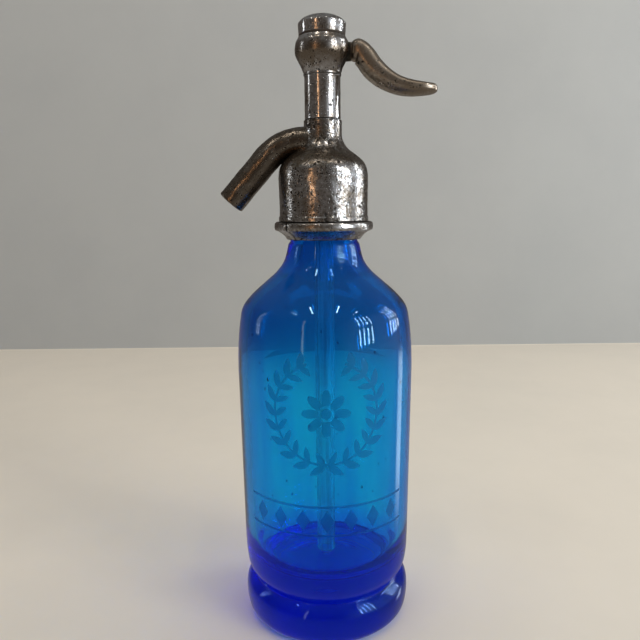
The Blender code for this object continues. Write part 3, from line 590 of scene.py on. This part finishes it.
def loft_sections(stations, steps):
    """Place = centre + up * h * |sin a|^(2/n * flat if above) + Y * w * |cos a|^(2/n), with
    signs kept; up is square to the centre line, and h is cut by its share below it."""
    x, z, tall, wide, square, flat, under = stations.T
    centre = np.stack([x, np.zeros_like(x), z], axis=-1)
    way = np.gradient(centre, axis=0)
    way[x < arm_start] = forward
    on_arm = np.clip((x - arm_start) / arm_ease, 0.0, 1.0)[:, None]
    way = way / np.linalg.norm(way, axis=1, keepdims=True)
    way = way * on_arm + forward * (1.0 - on_arm)
    way /= np.linalg.norm(way, axis=1, keepdims=True)
    up = np.cross(way, sideways)
    angle = (np.arange(steps) + 0.5) * 2.0 * np.pi / steps
    sine, cosine = np.sin(angle)[None], np.cos(angle)[None]
    power = (2.0 / square)[:, None]
    rise = np.sign(sine) * np.abs(sine) ** (power * np.where(sine > 0.0, flat[:, None], 1.0))
    rise = np.where(sine > 0.0, rise, rise * under[:, None]) * tall[:, None]
    reach = np.sign(cosine) * np.abs(cosine) ** power * wide[:, None]
    return centre[:, None] + up[:, None] * rise[..., None] + sideways[:, None] * reach[..., None]


lever_rows = curve_through(lever_stations, 0.55)
lever_rows[:, 2:] = np.maximum(lever_rows[:, 2:], 0.1)
lever_grid = loft_sections(lever_rows, 72)
lever_grid[[0, -1]] = lever_grid[[0, -1]].mean(axis=1, keepdims=True)
lever = surface("thumb_lever", lever_grid, loop=False)
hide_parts("lever")
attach(lever, "lever")

# %% [markdown]
# The lever turns on a steel pin that is driven across the bulb and filed flush. Its ends
# are very slightly domed by the hammer, and plated and stained like the bulb round them.

# %% Lever pin
pin_outline = curve_through([(0.0, 10.55), (0.7, 10.5), (1.15, 10.38), (1.36, 10.1), (1.4, 9.6)], 0.2)
pin_half = np.vstack([pin_outline, spaced([(1.4, 9.6), (1.4, 0.0)], 1.5)[1:]])
pin_full = np.vstack([pin_half, (pin_half * np.array([1.0, -1.0]))[::-1][1:]])
pin_grid = turned_grid(pin_full, 40)[..., [0, 2, 1]] + np.array([9.5, 0.0, 305.528])
pin = surface("lever_pin_rod", pin_grid, loop=False)
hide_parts("lever_pin")
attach(pin, "siphon")

# %% [markdown]
# The spring inside the cap is the one piece that gives. It stands still at its top and
# is pressed together from below when the lever lifts the stem. Here it is drawn at rest
# as five turns of wire, and gets a mesh of its own.

# %% Valve spring
turns, wire, coil = 5.0, 0.55, 5.15
upwards = np.array([[0.0, 0.0, 1.0]])
share = np.concatenate([[0.0], np.linspace(0.0, 1.0, 121), [1.0]])[:, None]
angle = share * turns * 2.0 * np.pi
outward = np.concatenate([np.cos(angle), np.sin(angle), np.zeros_like(angle)], axis=1)
centre = coil * outward + upwards * (311.80 + 8.70 * share)
thick = np.full(len(share), wire)
thick[[0, -1]] = 0.0
spring = surface("valve_spring_coil", rings(centre, outward, -upwards, thick, 12), loop=False)
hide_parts("spring")
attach(spring, "siphon")
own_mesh(spring)

# %% [markdown]
# Materials come next. A material is a tree of nodes, and most of its nodes do arithmetic.
# So a value in a tree gets plus, minus, times and divide signs here, each of which adds
# a Math node, and the recipes below read like formulas.


# %% Node helpers
class Value:
    """A number, colour or place on its way through a node tree."""

    def __init__(self, tree, socket):
        self.tree, self.socket = tree, socket

    def __add__(self, other):
        return maths("ADD", self, other)

    def __sub__(self, other):
        return maths("SUBTRACT", self, other)

    def __rsub__(self, other):
        return maths("SUBTRACT", other, self)

    def __mul__(self, other):
        return maths("MULTIPLY", self, other)

    def __truediv__(self, other):
        return maths("DIVIDE", self, other)

    def __abs__(self):
        return maths("ABSOLUTE", self)


def join(value, socket):
    """Leads a value to a socket, or writes a plain number or colour into it."""
    if isinstance(value, Value):
        value.tree.links.new(value.socket, socket)
    else:
        socket.default_value = value


def add(tree, kind, inputs=None, **settings):
    """Adds a node, sets its options, fills its inputs, and gives its outputs by number and name."""
    node = tree.nodes.new(kind)
    for key, value in settings.items():
        setattr(node, key, value)
    for key, value in (inputs or {}).items():
        join(value, node.inputs[key])
    values = [Value(tree, socket) for socket in node.outputs]
    return {**dict(enumerate(values)), **{value.socket.name: value for value in values}}


def tree_of(*parts):
    return next(part.tree for part in parts if isinstance(part, Value))


def maths(operation, *parts):
    return add(tree_of(*parts), "ShaderNodeMath", dict(enumerate(parts)), operation=operation)[0]


def any_of(first, *others):
    """The strongest of several masks."""
    for mask in others:
        first = maths("MAXIMUM", first, mask)
    return first


def remap(value, low, high, to_low=0.0, to_high=1.0):
    """Goes softly from one level to another while the value goes from low to high."""
    inputs = {"Value": value, "From Min": low, "From Max": high, "To Min": to_low, "To Max": to_high}
    return add(value.tree, "ShaderNodeMapRange", inputs, interpolation_type="SMOOTHSTEP")[0]


def blend(share, *colours):
    """Mixes two colours; a plain colour is a tuple."""
    first, second = ((*c, 1.0) if isinstance(c, tuple) else c for c in colours)
    inputs = {0: share, 6: first, 7: second}
    return add(tree_of(share, *colours), "ShaderNodeMix", inputs, data_type="RGBA")[2]


def place(tree, kind="Object"):
    return add(tree, "ShaderNodeTexCoord")[kind]


def axes(where):
    split = add(where.tree, "ShaderNodeSeparateXYZ", {"Vector": where})
    return split["X"], split["Y"], split["Z"]


def mapped(where, scale, turn=(0.0, 0.0, 0.0)):
    return add(where.tree, "ShaderNodeMapping", {"Vector": where, "Rotation": turn, "Scale": scale})[0]


def noise(where, scale, detail, **more):
    inputs = {"Vector": where, "Scale": scale, "Detail": detail, **more}
    return add(where.tree, "ShaderNodeTexNoise", inputs)[0]


def bump(shader, height, distance, strength=1.0):
    inputs = {"Height": height, "Strength": strength, "Distance": distance}
    join(add(height.tree, "ShaderNodeBump", inputs)[0], shader["Normal"])


def new_material(name):
    """A material, its node tree, and the inputs of its shader."""
    material = bpy.data.materials.new(name)
    material.use_nodes = True
    return material, material.node_tree, material.node_tree.nodes["Principled BSDF"].inputs


def new_group(name, inputs, *outputs):
    """An empty shader node group with named number sockets."""
    tree = bpy.data.node_groups.new(name, "ShaderNodeTree")
    for label, value in inputs.items():
        tree.interface.new_socket(label, in_out="INPUT", socket_type="NodeSocketFloat").default_value = value
    for label in outputs:
        tree.interface.new_socket(label, in_out="OUTPUT", socket_type="NodeSocketFloat")
    print("group", name, "takes", list(inputs), "and gives", list(outputs))
    return tree, add(tree, "NodeGroupInput"), tree.nodes.new("NodeGroupOutput").inputs


def use_group(tree, group, **values):
    return add(tree, "ShaderNodeGroup", values, node_tree=group)


print("helpers ready")

# %% [markdown]
# Patina on old plate is cloudy: broad brown stains, with finer specks inside them. One
# noise texture gives the clouds, a second and finer one frays their edges. The group
# hands out a mask, so that each metal can choose its own two colours.

# %% Patina group
patina, given, result = new_group("patina", {"Scale": 60.0, "Cover": 0.5, "Softness": 0.12}, "Mask", "Fine")
where = place(patina)
clouds = noise(where, given["Scale"], 7.0, Roughness=0.62)
specks = noise(where, given["Scale"] * 9.0, 4.0, Roughness=0.7)
edge = 0.78 - given["Cover"] * 0.56
stains = remap(specks * 0.35 + clouds * 0.65, edge - given["Softness"], edge + given["Softness"])
join(stains, result["Mask"])
join(specks, result["Fine"])

# %% [markdown]
# Plate that has lost its polish is full of tiny pits, some of them in swarms. Round cells
# would look like a printed pattern, so the pits are the peaks of a fine noise instead:
# wherever it rises over a limit there is a pit of no particular shape. A slow second
# noise lowers the limit here and there, and the pits crowd together in those places.

# %% Pitting group
pitting, given, result = new_group("pitting", {"Scale": 1300.0, "Limit": 0.66, "Crowding": 0.12}, "Mask")
where = place(pitting)
peaks = noise(where, given["Scale"], 1.5, Roughness=0.45)
swarms = noise(where, given["Scale"] * 0.11, 3.0)
limit = given["Limit"] - (swarms - 0.5) * given["Crowding"] * 2.0
join(remap(peaks, limit, limit + 0.035), result["Mask"])

# %% [markdown]
# Dirt gathers where two pieces meet. On this object every seam is a level circle, so the
# height alone tells how near a seam is. The group darkens a band round one height, with
# a ragged edge. On the cap's crown the same band is painted shade, a painted dark
# reflection of the ceiling.

# %% Seam dirt and painted shade group
seam_dirt_and_shade, given, result = new_group("seam_dirt_and_shade", {"Height": 0.2737, "Width": 0.0012}, "Mask")
where = place(seam_dirt_and_shade)
ragged = (noise(where, 260.0, 5.0, Roughness=0.7) - 0.5) * 1.6
near = 1.0 - abs(axes(where)[2] - given["Height"]) / given["Width"]
join(remap(near + ragged, 0.0, 0.9), result["Mask"])

# %% [markdown]
# Fine scratches run every way on a handled metal. Noise that is squeezed hard along one
# direction makes threads; two sets at different slants cross like real wear. Only their
# thin crests count, so most of the surface stays smooth.

# %% Scratches group
scratches, given, result = new_group("scratches", {"Scale": 300.0, "Amount": 0.5}, "Mask")
where = place(scratches)
threads = []
for squeeze, slant in (((1.0, 1.0, 0.05), (0.5, 0.3, 0.9)), ((1.0, 0.06, 1.0), (1.3, 0.8, 0.2))):
    lines = noise(mapped(where, squeeze, slant), given["Scale"], 3.0, Distortion=0.4)
    threads.append(remap(abs(lines - 0.5), 0.004, 0.016, 1.0, 0.0))
join(any_of(*threads) * given["Amount"], result["Mask"])

# %% [markdown]
# Old black grease sits round the lever's slot and on the tang that passes through it, and
# nobody ever wipes it away there. The same mask also paints the shade that falls in the
# slot, under the lever and on the tang. The group is a soft box in space: near the slot's
# side of the bulb, between two heights, and close to the lever's plane.

# %% Slot grease and painted shade group
grease_and_shade_box = {"Reach": 0.0055, "Start": 0.0085, "End": 0.0200, "Low": 0.2958, "High": 0.3045}
slot_grease_and_shade, given, result = new_group("slot_grease_and_shade", grease_and_shade_box, "Mask")
where = place(slot_grease_and_shade)
x, y, z = axes(where)
shaken = (noise(where, 300.0, 4.0) - 0.5) * (3.0 * MM)
beside = remap(abs(y) + shaken, given["Reach"] * 0.7, given["Reach"], 1.0, 0.0)
after = remap(x, given["Start"], given["Start"] + MM)
before = remap(x, given["End"], given["End"] + MM, 1.0, 0.0)
below = remap(z + shaken, given["High"], given["High"] + 2.0 * MM, 1.0, 0.0)
above = remap(z + shaken, given["Low"], given["Low"] + MM)
join(beside * after * before * below * above, result["Mask"])

# %% [markdown]
# All the visible metals share one recipe with their own numbers: a bright metal colour
# under brown patina, dark pits, dirt at the seams, painted shade on the cap's crown,
# grease and painted shade round the lever's slot and on its tang, and a roughness that
# rises where the surface is dull. Hammer marks a few millimetres wide, the pits, the
# clouds and the scratches feed the bump, and the hammer marks are what breaks a
# reflection into pieces.


# %% Worn metal recipe
def worn_metal(name, bright, stain, dirt_and_shade, cover, polish, dull, pit_limit=0.64, crowding=0.14, seams_and_shade=(),
               stained=(), cloud_scale=70.0, marks=0.5, mark_scale=260.0, grain=0.5, scratch=0.4,
               grease_and_shade=None):
    """Seam bands and stained bands are pairs of height and width in mm. Seam bands and the grease box take
    the dark colour: dirt at real seams, grease and painted shade round the slot, painted shade on the cap's
    crown.
    """
    material, tree, shader = new_material(name)
    shader["Metallic"].default_value = 1.0

    def bands(levels):
        return [use_group(tree, seam_dirt_and_shade, Height=height * MM, Width=width * MM)["Mask"]
                for height, width in levels]

    clouds = use_group(tree, patina, Scale=cloud_scale, Cover=cover)
    lines = use_group(tree, scratches, Scale=300.0, Amount=scratch)["Mask"]
    pits = any_of(use_group(tree, pitting, Scale=1300.0, Limit=pit_limit, Crowding=crowding)["Mask"],
                  use_group(tree, pitting, Scale=520.0, Limit=pit_limit + 0.05, Crowding=crowding)["Mask"])
    # pits and seam dirt, together with painted shade bands such as the one on the cap's crown
    grime_and_shade = any_of(pits, *bands(seams_and_shade))
    # the box adds grease, and painted shade in the slot and under the lever
    if grease_and_shade:
        grime_and_shade = any_of(grime_and_shade, use_group(tree, slot_grease_and_shade, **grease_and_shade)["Mask"])
    cloudy = any_of(clouds["Mask"], *bands(stained))
    toned = blend(cloudy, bright, stain)
    speckled = blend(remap(clouds["Fine"], 0.40, 0.66), toned, blend(grain, toned, stain))
    join(blend(grime_and_shade * 0.92, speckled, dirt_and_shade), shader["Base Color"])
    haze = cloudy * (dull - polish) + clouds["Fine"] * 0.16 + lines * 0.08 + grime_and_shade * 0.30
    join(haze + (polish - 0.08), shader["Roughness"])
    hammered = noise(mapped(place(tree), (1.0, 1.0, 0.4)), mark_scale, 1.0)
    bump(shader, hammered * marks + clouds["Fine"] * (0.07 * grain) - pits * 0.10 - lines * 0.02, 0.6 * MM)
    return material


nickel, tarnish, black_dirt_and_shade = (0.56, 0.565, 0.575), (0.16, 0.13, 0.098), (0.022, 0.018, 0.014)
head_metal = worn_metal("worn_plate", nickel, tarnish, black_dirt_and_shade, 0.52, 0.13, 0.28, pit_limit=0.60,
                        crowding=0.22, seams_and_shade=[(221.65, 0.5), (273.45, 0.5)], stained=[(255.0, 9.0)],
                        marks=0.24, mark_scale=340.0, grain=0.6)
# the band at 326 mm is painted shade: the cap's crown darkened as a painted reflection of a dark ceiling
column_seams_and_crown_shade = [(273.45, 0.6), (295.2, 0.5), (314.5, 0.5), (326.0, 6.5)]
# the column's grease box also paints the shade under the lever, round the slot
column_metal = worn_metal("column_plate", (0.60, 0.60, 0.61), (0.19, 0.155, 0.12), black_dirt_and_shade,
                          0.47, 0.11, 0.25, seams_and_shade=column_seams_and_crown_shade, stained=[(304.5, 10.0)], marks=0.08,
                          grain=0.22, cloud_scale=95.0, grease_and_shade={"Reach": 0.0068})
spout_metal = worn_metal("dull_spout_plate", (0.43, 0.40, 0.36), (0.14, 0.115, 0.09), (0.02, 0.016, 0.012),
                         0.66, 0.14, 0.24, marks=0.16, mark_scale=420.0, grain=0.7, cloud_scale=150.0)
ring_metal = worn_metal("ring_plate", (0.62, 0.625, 0.635), (0.21, 0.18, 0.15), black_dirt_and_shade, 0.54, 0.13, 0.28,
                        seams_and_shade=[(221.6, 0.5), (212.5, 0.3)], marks=0.25, grain=0.5)
# on the lever, grease and painted shade darken the tang and the knuckle inside the bulb
tang_grease_and_shade = {"Reach": 0.008, "Start": 0.0, "End": 0.0142, "Low": 0.290, "High": 0.320}
lever_metal = worn_metal("lever_plate", (0.50, 0.455, 0.395), (0.26, 0.21, 0.16), (0.03, 0.028, 0.022), 0.60,
                         0.24, 0.34, pit_limit=0.66, marks=0.12, grain=0.5, scratch=0.6, grease_and_shade=tang_grease_and_shade)
print("metals:", [m.name for m in (head_metal, column_metal, spout_metal, ring_metal, lever_metal)])

# %% [markdown]
# Bottles like this carry decoration that was bitten into the glass with acid, which
# leaves it matt. Here it is a plain open wreath of leaves round an eight-petalled flower,
# with a row of lozenges below. The pattern is worked out from the distance along the
# front of the bottle and the height, the way a stencil would be wrapped round it.


# %% Stencil helpers
def under(value, limit, soft=0.3 * MM):
    """1 where the value is under the limit, fading over the soft edge."""
    return remap(value, limit, limit + soft, 1.0, 0.0)


def length(across, up):
    """The root of across^2 + up^2."""
    return maths("SQRT", across * across + up * up)


def leaf(along, out, middle, slant, long, wide):
    """1 in the pointed shape |v| < wide (1 - (u / long)^2), where u and v are the place
    seen from the leaf's middle and turned by its slant."""
    off = out - middle
    u = along * math.cos(slant) + off * math.sin(slant)
    v = off * math.cos(slant) - along * math.sin(slant)
    share = u / long
    return under(abs(v) - (1.0 - share * share) * wide, 0.0)


print("stencil helpers ready")

# %% Etched wreath group
wrap_radius, leaves, top_gap = 47.2 * MM, 22, 0.36
etched_wreath, given, result = new_group("etched_wreath", {"Middle": 0.130, "Size": 0.0265}, "Mask")
x, y, z = axes(place(etched_wreath))
across = maths("ARCTAN2", x, y * -1.0) * wrap_radius
up = z - given["Middle"]
reach = length(across, up)
turn = maths("ARCTAN2", across, up * -1.0)
step = maths("FRACT", abs(turn) * (leaves / (2.0 * math.pi))) - 0.5
along = step * (2.0 * math.pi / leaves) * given["Size"]
out = reach - given["Size"]
outer_leaf = leaf(along, out, 3.0 * MM, 0.85, 4.7 * MM, 1.7 * MM)
inner_leaf = leaf(along, out, -3.0 * MM, -0.85, 4.4 * MM, 1.5 * MM)
branch = any_of(outer_leaf, inner_leaf, under(abs(out), 0.5 * MM)) * under(abs(turn), math.pi - top_gap)
print("one leaf takes", round(360 / leaves, 1), "degrees of the wreath")

# %% Flower and lozenges
lozenge_pitch, row_height = 12.5 * MM, 73.0 * MM
petal = maths("POWER", abs(maths("COSINE", turn * 4.0)), 0.7)
eye_ring = under(abs(reach - 3.4 * MM), 0.6 * MM)
flower = under(reach - (petal * (8.5 * MM) + 3.5 * MM), 0.0) * (1.0 - eye_ring)
row_up = abs(z - row_height)
spot = abs(maths("FRACT", across / lozenge_pitch + 8.5) - 0.5) * lozenge_pitch
lozenges = under(spot + row_up * 0.62, 3.6 * MM) * under(abs(across), 43.5 * MM)
rails = under(abs(row_up - 7.8 * MM), 0.5 * MM) * under(abs(across), 46.0 * MM)
outer_wall = remap(length(x, y), 44.2 * MM, 44.6 * MM)
join(any_of(branch, flower, lozenges, rails) * outer_wall, result["Mask"])
print("lozenges stand", lozenge_pitch / MM, "mm apart")

# %% [markdown]
# Blue glass gets most of its colour in depth: a thin wall passes green-blue light, the
# thick foot only deep blue. A Volume Absorption does this, and takes off more the longer
# the way through the glass. The surface colour adds faint upright streaks of tone, and
# painted shade: a darker shoulder and foot, and a deeper blue where the wall is seen edge
# on. The underside is matt, so that light caught in the thick foot gets out again.
# Rays from lamps pass straight through by a Transparent shader, so the tube inside is
# lit and the shadow on the table is blue instead of black.


# %% Glass recipe
def clear_glass(name, tint, clearness, index, lamp_tint):
    material, tree, shader = new_material(name)
    shader["Base Color"].default_value = (*tint, 1.0)
    shader["Transmission Weight"].default_value = clearness
    shader["IOR"].default_value = index
    lamp_ray = add(tree, "ShaderNodeLightPath")["Is Shadow Ray"]
    see_through = add(tree, "ShaderNodeBsdfTransparent", {"Color": (*lamp_tint, 1.0)})[0]
    glass = Value(tree, tree.nodes["Principled BSDF"].outputs[0])
    mixed = add(tree, "ShaderNodeMixShader", {0: lamp_ray, 1: glass, 2: see_through})[0]
    join(mixed, tree.nodes["Material Output"].inputs["Surface"])
    return material, tree, shader


density, green_kept, blue_kept = 600.0, 0.870, 0.992
blue_glass, tree, shader = clear_glass("blue_glass_depth", (0.15, 0.97, 1.0), 0.988, 1.46, (0.80, 0.76, 0.72))
shader["Specular Tint"].default_value = (0.38, 0.80, 1.0, 1.0)
absorbed = {"Color": (0.0, green_kept, blue_kept, 1.0), "Density": density}
depth = add(tree, "ShaderNodeVolumeAbsorption", absorbed)
join(depth[0], tree.nodes["Material Output"].inputs["Volume"])
etched = use_group(tree, etched_wreath)["Mask"]
smears = use_group(tree, patina, Scale=40.0, Cover=0.35, Softness=0.2)
scuffs = use_group(tree, scratches, Scale=420.0, Amount=0.6)["Mask"]
where = place(tree)
height = axes(where)[2]
underside = remap(height, 4.0 * MM, 1.8 * MM)
join(etched * 0.42 + smears["Mask"] * 0.012 + scuffs * 0.05 + underside * 0.45, shader["Roughness"])
uneven = noise(mapped(where, (1.0, 1.0, 0.14)), 75.0, 2.0)
# painted shade: the colour turns a deeper blue where the wall is seen edge on
at_edge = remap(add(tree, "ShaderNodeLayerWeight", {"Blend": 0.5})["Facing"], 0.74, 0.985)
tone = blend(remap(uneven, 0.40, 0.64), (0.15, 1.0, 1.0), (0.12, 0.82, 0.97))
# painted shade: darker shoulder above, darker foot below
tone = blend(remap(height, 0.132, 0.170), tone, (0.12, 0.50, 0.74))
tone = blend(remap(height, 0.030, 0.016), tone, (0.03, 0.42, 0.84))
tone = blend(at_edge, tone, (0.04, 0.48, 0.86))
join(blend(etched, tone, (0.10, 0.50, 0.60)), shader["Base Color"])
bump(shader, etched * (smears["Fine"] - 1.4), 0.06 * MM, strength=0.2)
print("glass takes off green at", round(density * (1 - green_kept), 1), "and blue at",
      round(density * (1 - blue_kept), 1), "per metre")

# %% [markdown]
# The tube inside is clear glass with a thin film of lime. It was drawn out through a die,
# which leaves fine lines along its whole length, some of them a little darker.

# %% Tube glass
tube_glass, tree, shader = clear_glass("tube_glass_clear", (0.97, 0.985, 0.98), 0.91, 1.5, (0.95, 0.96, 0.96))
film = use_group(tree, patina, Scale=90.0, Cover=0.4, Softness=0.25)["Mask"]
join(film * 0.06 + 0.03, shader["Roughness"])
die_lines = noise(mapped(place(tree), (1.0, 1.0, 0.02)), 520.0, 2.0)
join(blend(remap(die_lines, 0.46, 0.60), (0.99, 0.99, 0.99), (0.60, 0.68, 0.74)), shader["Base Color"])
bump(shader, die_lines, 0.6 * MM)
print("tube glass:", tube_glass.name)

# %% [markdown]
# The small parts inside are brass, steel, rubber and fibre. They are seen through the
# slot or the glass, or not at all, but they keep a proper finish for anyone who takes
# the model apart. Their CAD meshes stay, and only their material changes.


# %% Inner finishes
def soft_finish(name, colour, darker, rough, scale, strength):
    """Rubber and fibre: a mottled colour, a soft roughness and a fine grain."""
    material, tree, shader = new_material(name)
    mottle = use_group(tree, patina, Scale=scale, Cover=0.5, Softness=0.2)
    join(blend(mottle["Mask"], colour, darker), shader["Base Color"])
    join(mottle["Fine"] * 0.2 + rough, shader["Roughness"])
    bump(shader, mottle["Fine"], 0.2 * MM, strength)
    return material


brass = worn_metal("valve_brass", (0.72, 0.52, 0.24), (0.42, 0.27, 0.11), (0.08, 0.05, 0.02),
                   0.4, 0.24, 0.38, marks=0.12)
steel = worn_metal("pin_steel", (0.62, 0.61, 0.59), (0.36, 0.30, 0.24), (0.06, 0.05, 0.04),
                   0.4, 0.22, 0.36, marks=0.2)
rubber = soft_finish("seal_rubber", (0.05, 0.045, 0.04), (0.025, 0.022, 0.02), 0.62, 300.0, 0.3)
fibre = soft_finish("washer_fibre", (0.07, 0.05, 0.035), (0.03, 0.022, 0.016), 0.7, 500.0, 0.5)
print("inner finishes:", [m.name for m in (brass, steel, rubber, fibre)])

# %% Give every piece its finish
finishes = {
    "bottle_glass": blue_glass, "dip_tube_glass": tube_glass, "neck_ring_front_shell": ring_metal,
    "neck_ring_rear_shell": ring_metal, "head_body_shell": head_metal, "lever_housing_shell": column_metal,
    "cap_shell": column_metal, "cap_washer": fibre, "spout_tube": spout_metal, "thumb_lever": lever_metal,
    "lever_pin_rod": column_metal, "valve_spring_coil": steel}
slot_finishes = {
    "blue_glass": blue_glass, "tube_glass": tube_glass, "head_metal": head_metal, "ring_metal": ring_metal,
    "spout_metal": spout_metal, "cap_metal": column_metal, "lever_bronze": lever_metal, "brass": brass,
    "steel": steel, "rubber": rubber, "fibre": fibre}
for name, material in finishes.items():
    bpy.data.objects[name].data.materials.append(material)
for part in frame["record"]["subparts"]:
    cad = frame["nodes"][part["node"]]
    cad.data.materials.clear()
    cad.data.materials.append(slot_finishes[part["material_slot"]])
print("finished", len(finishes), "new pieces and", len(frame["nodes"]), "CAD nodes")

# %% [markdown]
# The siphon stands on a pale table in front of a grey wall. One sheet makes both: a flat
# table that turns up into the wall through a very small cove, so the two meet in a soft
# line. The table is a cream paint with faint smudges, the wall a grey one. Reflections
# do not see the sheet, or it would fill the metal and the glass with a flat pale tone;
# they see the room's light instead.

# %% Table and wall
stage_outline = rounded_corners([(-1100.0, 0.0, 0), (672.0, 0.0, 1.5), (672.0, 1500.0, 0)], 5)
across = np.linspace(-2600.0, 2600.0, 27)
stage_grid = np.stack(np.broadcast_arrays(across, stage_outline[:, :1], stage_outline[:, 1:]), axis=-1)
stage_faces = grid_faces(np.arange(stage_grid.size // 3).reshape(stage_grid.shape[:2]))
backdrop = piece_from_faces("table_and_wall", stage_grid.reshape(-1, 3), stage_faces, sharp=80.0)

# %% Table and wall finish
paint, tree, shader = new_material("painted_table_and_wall")
where = place(tree)
smudge = noise(where, 7.0, 5.0, Roughness=0.6)
smudged = remap(smudge, 0.3, 0.75)
table_tone = blend(smudged, (0.74, 0.68, 0.585), (0.703, 0.648, 0.56))
wall_tone = blend(smudged, (0.455, 0.465, 0.457), (0.432, 0.442, 0.438))
is_wall = remap(axes(where)[2], 0.4 * MM, 1.6 * MM)
join(blend(is_wall, table_tone, wall_tone), shader["Base Color"])
join(smudge * 0.2 + 0.45, shader["Roughness"])
shader["Specular IOR Level"].default_value = 0.25
backdrop.data.materials.append(paint)
backdrop.visible_glossy = False
print("stage material:", paint.name)

# %% [markdown]
# The room has two windows with glazing bars on the right, a dim paned door on the left,
# a few small ceiling lamps in front, and little else. Polished metal shows mostly what
# surrounds it, so the dim left side of the room is as important as the windows: it gives
# the head its dark brown side. A slim warm strip, like a door frame in lamplight, draws
# the thin copper line down the column. A wide soft lamp above and behind fills the
# shadows without showing in the glass.


# %% Lamps
def area_lamp(name, place, aim, width, height, radiance, colour=(1.0, 1.0, 1.0)):
    """The power that gives a flat lamp a brightness is radiance * area * pi."""
    data = bpy.data.lights.new(name, "AREA")
    data.shape = "RECTANGLE"
    data.size, data.size_y, data.color = width, height, colour
    data.energy = radiance * width * height * math.pi
    lamp = bpy.data.objects.new(name, data)
    scene.collection.objects.link(lamp)
    lamp.location = place
    lamp.rotation_euler = (Vector(aim) - Vector(place)).to_track_quat("-Z", "Y").to_euler()
    return lamp


def paned_window(name, place, width, height, columns, rows, radiance, bar=0.090):
    """Panes of equal size with bars between them, all in one upright plane that faces the bottle."""
    facing = math.atan2(place[1], place[0])
    aside = Vector((-math.sin(facing), math.cos(facing), 0.0))
    pane_width, pane_height = width / columns - bar, height / rows - bar
    for column in range(columns):
        for row in range(rows):
            off = aside * (width * ((column + 0.5) / columns - 0.5))
            middle = Vector(place) + off + Vector((0.0, 0.0, height * ((row + 0.5) / rows - 0.5)))
            inward = middle - Vector((math.cos(facing), math.sin(facing), 0.0))
            area_lamp(f"{name}_{column}_{row}", middle, inward, pane_width, pane_height, radiance, daylight)


daylight, lamplight = (0.93, 0.97, 1.0), (1.0, 0.94, 0.86)
paned_window("window_near", (0.95, -0.69, 0.55), 0.50, 0.95, 4, 4, 27.0)
paned_window("window_far", (1.15, 0.28, 0.55), 0.46, 0.95, 4, 4, 27.0)
paned_window("left_door", (-1.2, 0.15, 0.5), 0.16, 0.80, 2, 5, 9.0, bar=0.055)
overhead = area_lamp("soft_overhead", (0.0, 0.34, 1.45), (0.0, 0.1, 0.0), 1.7, 0.55, 2.1, (1.0, 0.985, 0.96))
overhead.visible_glossy = False
area_lamp("warm_strip", (-0.62, -1.15, 0.42), (0.0, 0.0, 0.30), 0.06, 1.0, 5.0, (1.0, 0.55, 0.28))
for index, across in enumerate((-1.15, -0.42, 0.42, 1.15)):
    above, below = (across, -0.62, 1.95), (across, -0.62, 0.0)
    area_lamp(f"ceiling_strip_{index}", above, below, 0.035, 0.55, 45.0, lamplight)

# %% [markdown]
# The room itself is a colour for every direction: brown and dim all round, pale on the
# window side, grey above and warm below, where the table would be. A low bright strip at
# the back right lights the rim of the foot. What the camera sees past the wall, and what
# it sees through the glass, is one even pale grey.

# %% Room light
world = bpy.data.worlds.new("room")
world.use_nodes = True
scene.world = world
tree = world.node_tree
x, y, z = axes(place(tree, "Generated"))
window_side = remap(x, 0.30, 0.72) * remap(y, 0.60, 0.25)
room = blend(window_side, (0.115, 0.10, 0.088), (0.66, 0.68, 0.71))
room = blend(remap(z, -0.02, -0.30), room, (0.30, 0.275, 0.245))
room = blend(remap(z, 0.35, 0.75), room, (0.20, 0.195, 0.185))
bearing = maths("ARCTAN2", x, y * -1.0)
strip_wide = remap(abs(bearing - 2.0), 0.13, 0.05)
strip_tall = remap(z, -0.50, -0.38) * remap(z, -0.12, -0.22)
room = blend(strip_wide * strip_tall, room, (3.2, 3.4, 3.6))
rays = add(tree, "ShaderNodeLightPath")
seen = any_of(rays["Is Camera Ray"], rays["Is Transmission Ray"])
join(blend(seen, room, (0.37, 0.365, 0.35)), tree.nodes["Background"].inputs["Color"])
bpy.context.scene.view_settings.view_transform = "Standard"
print("room light set")
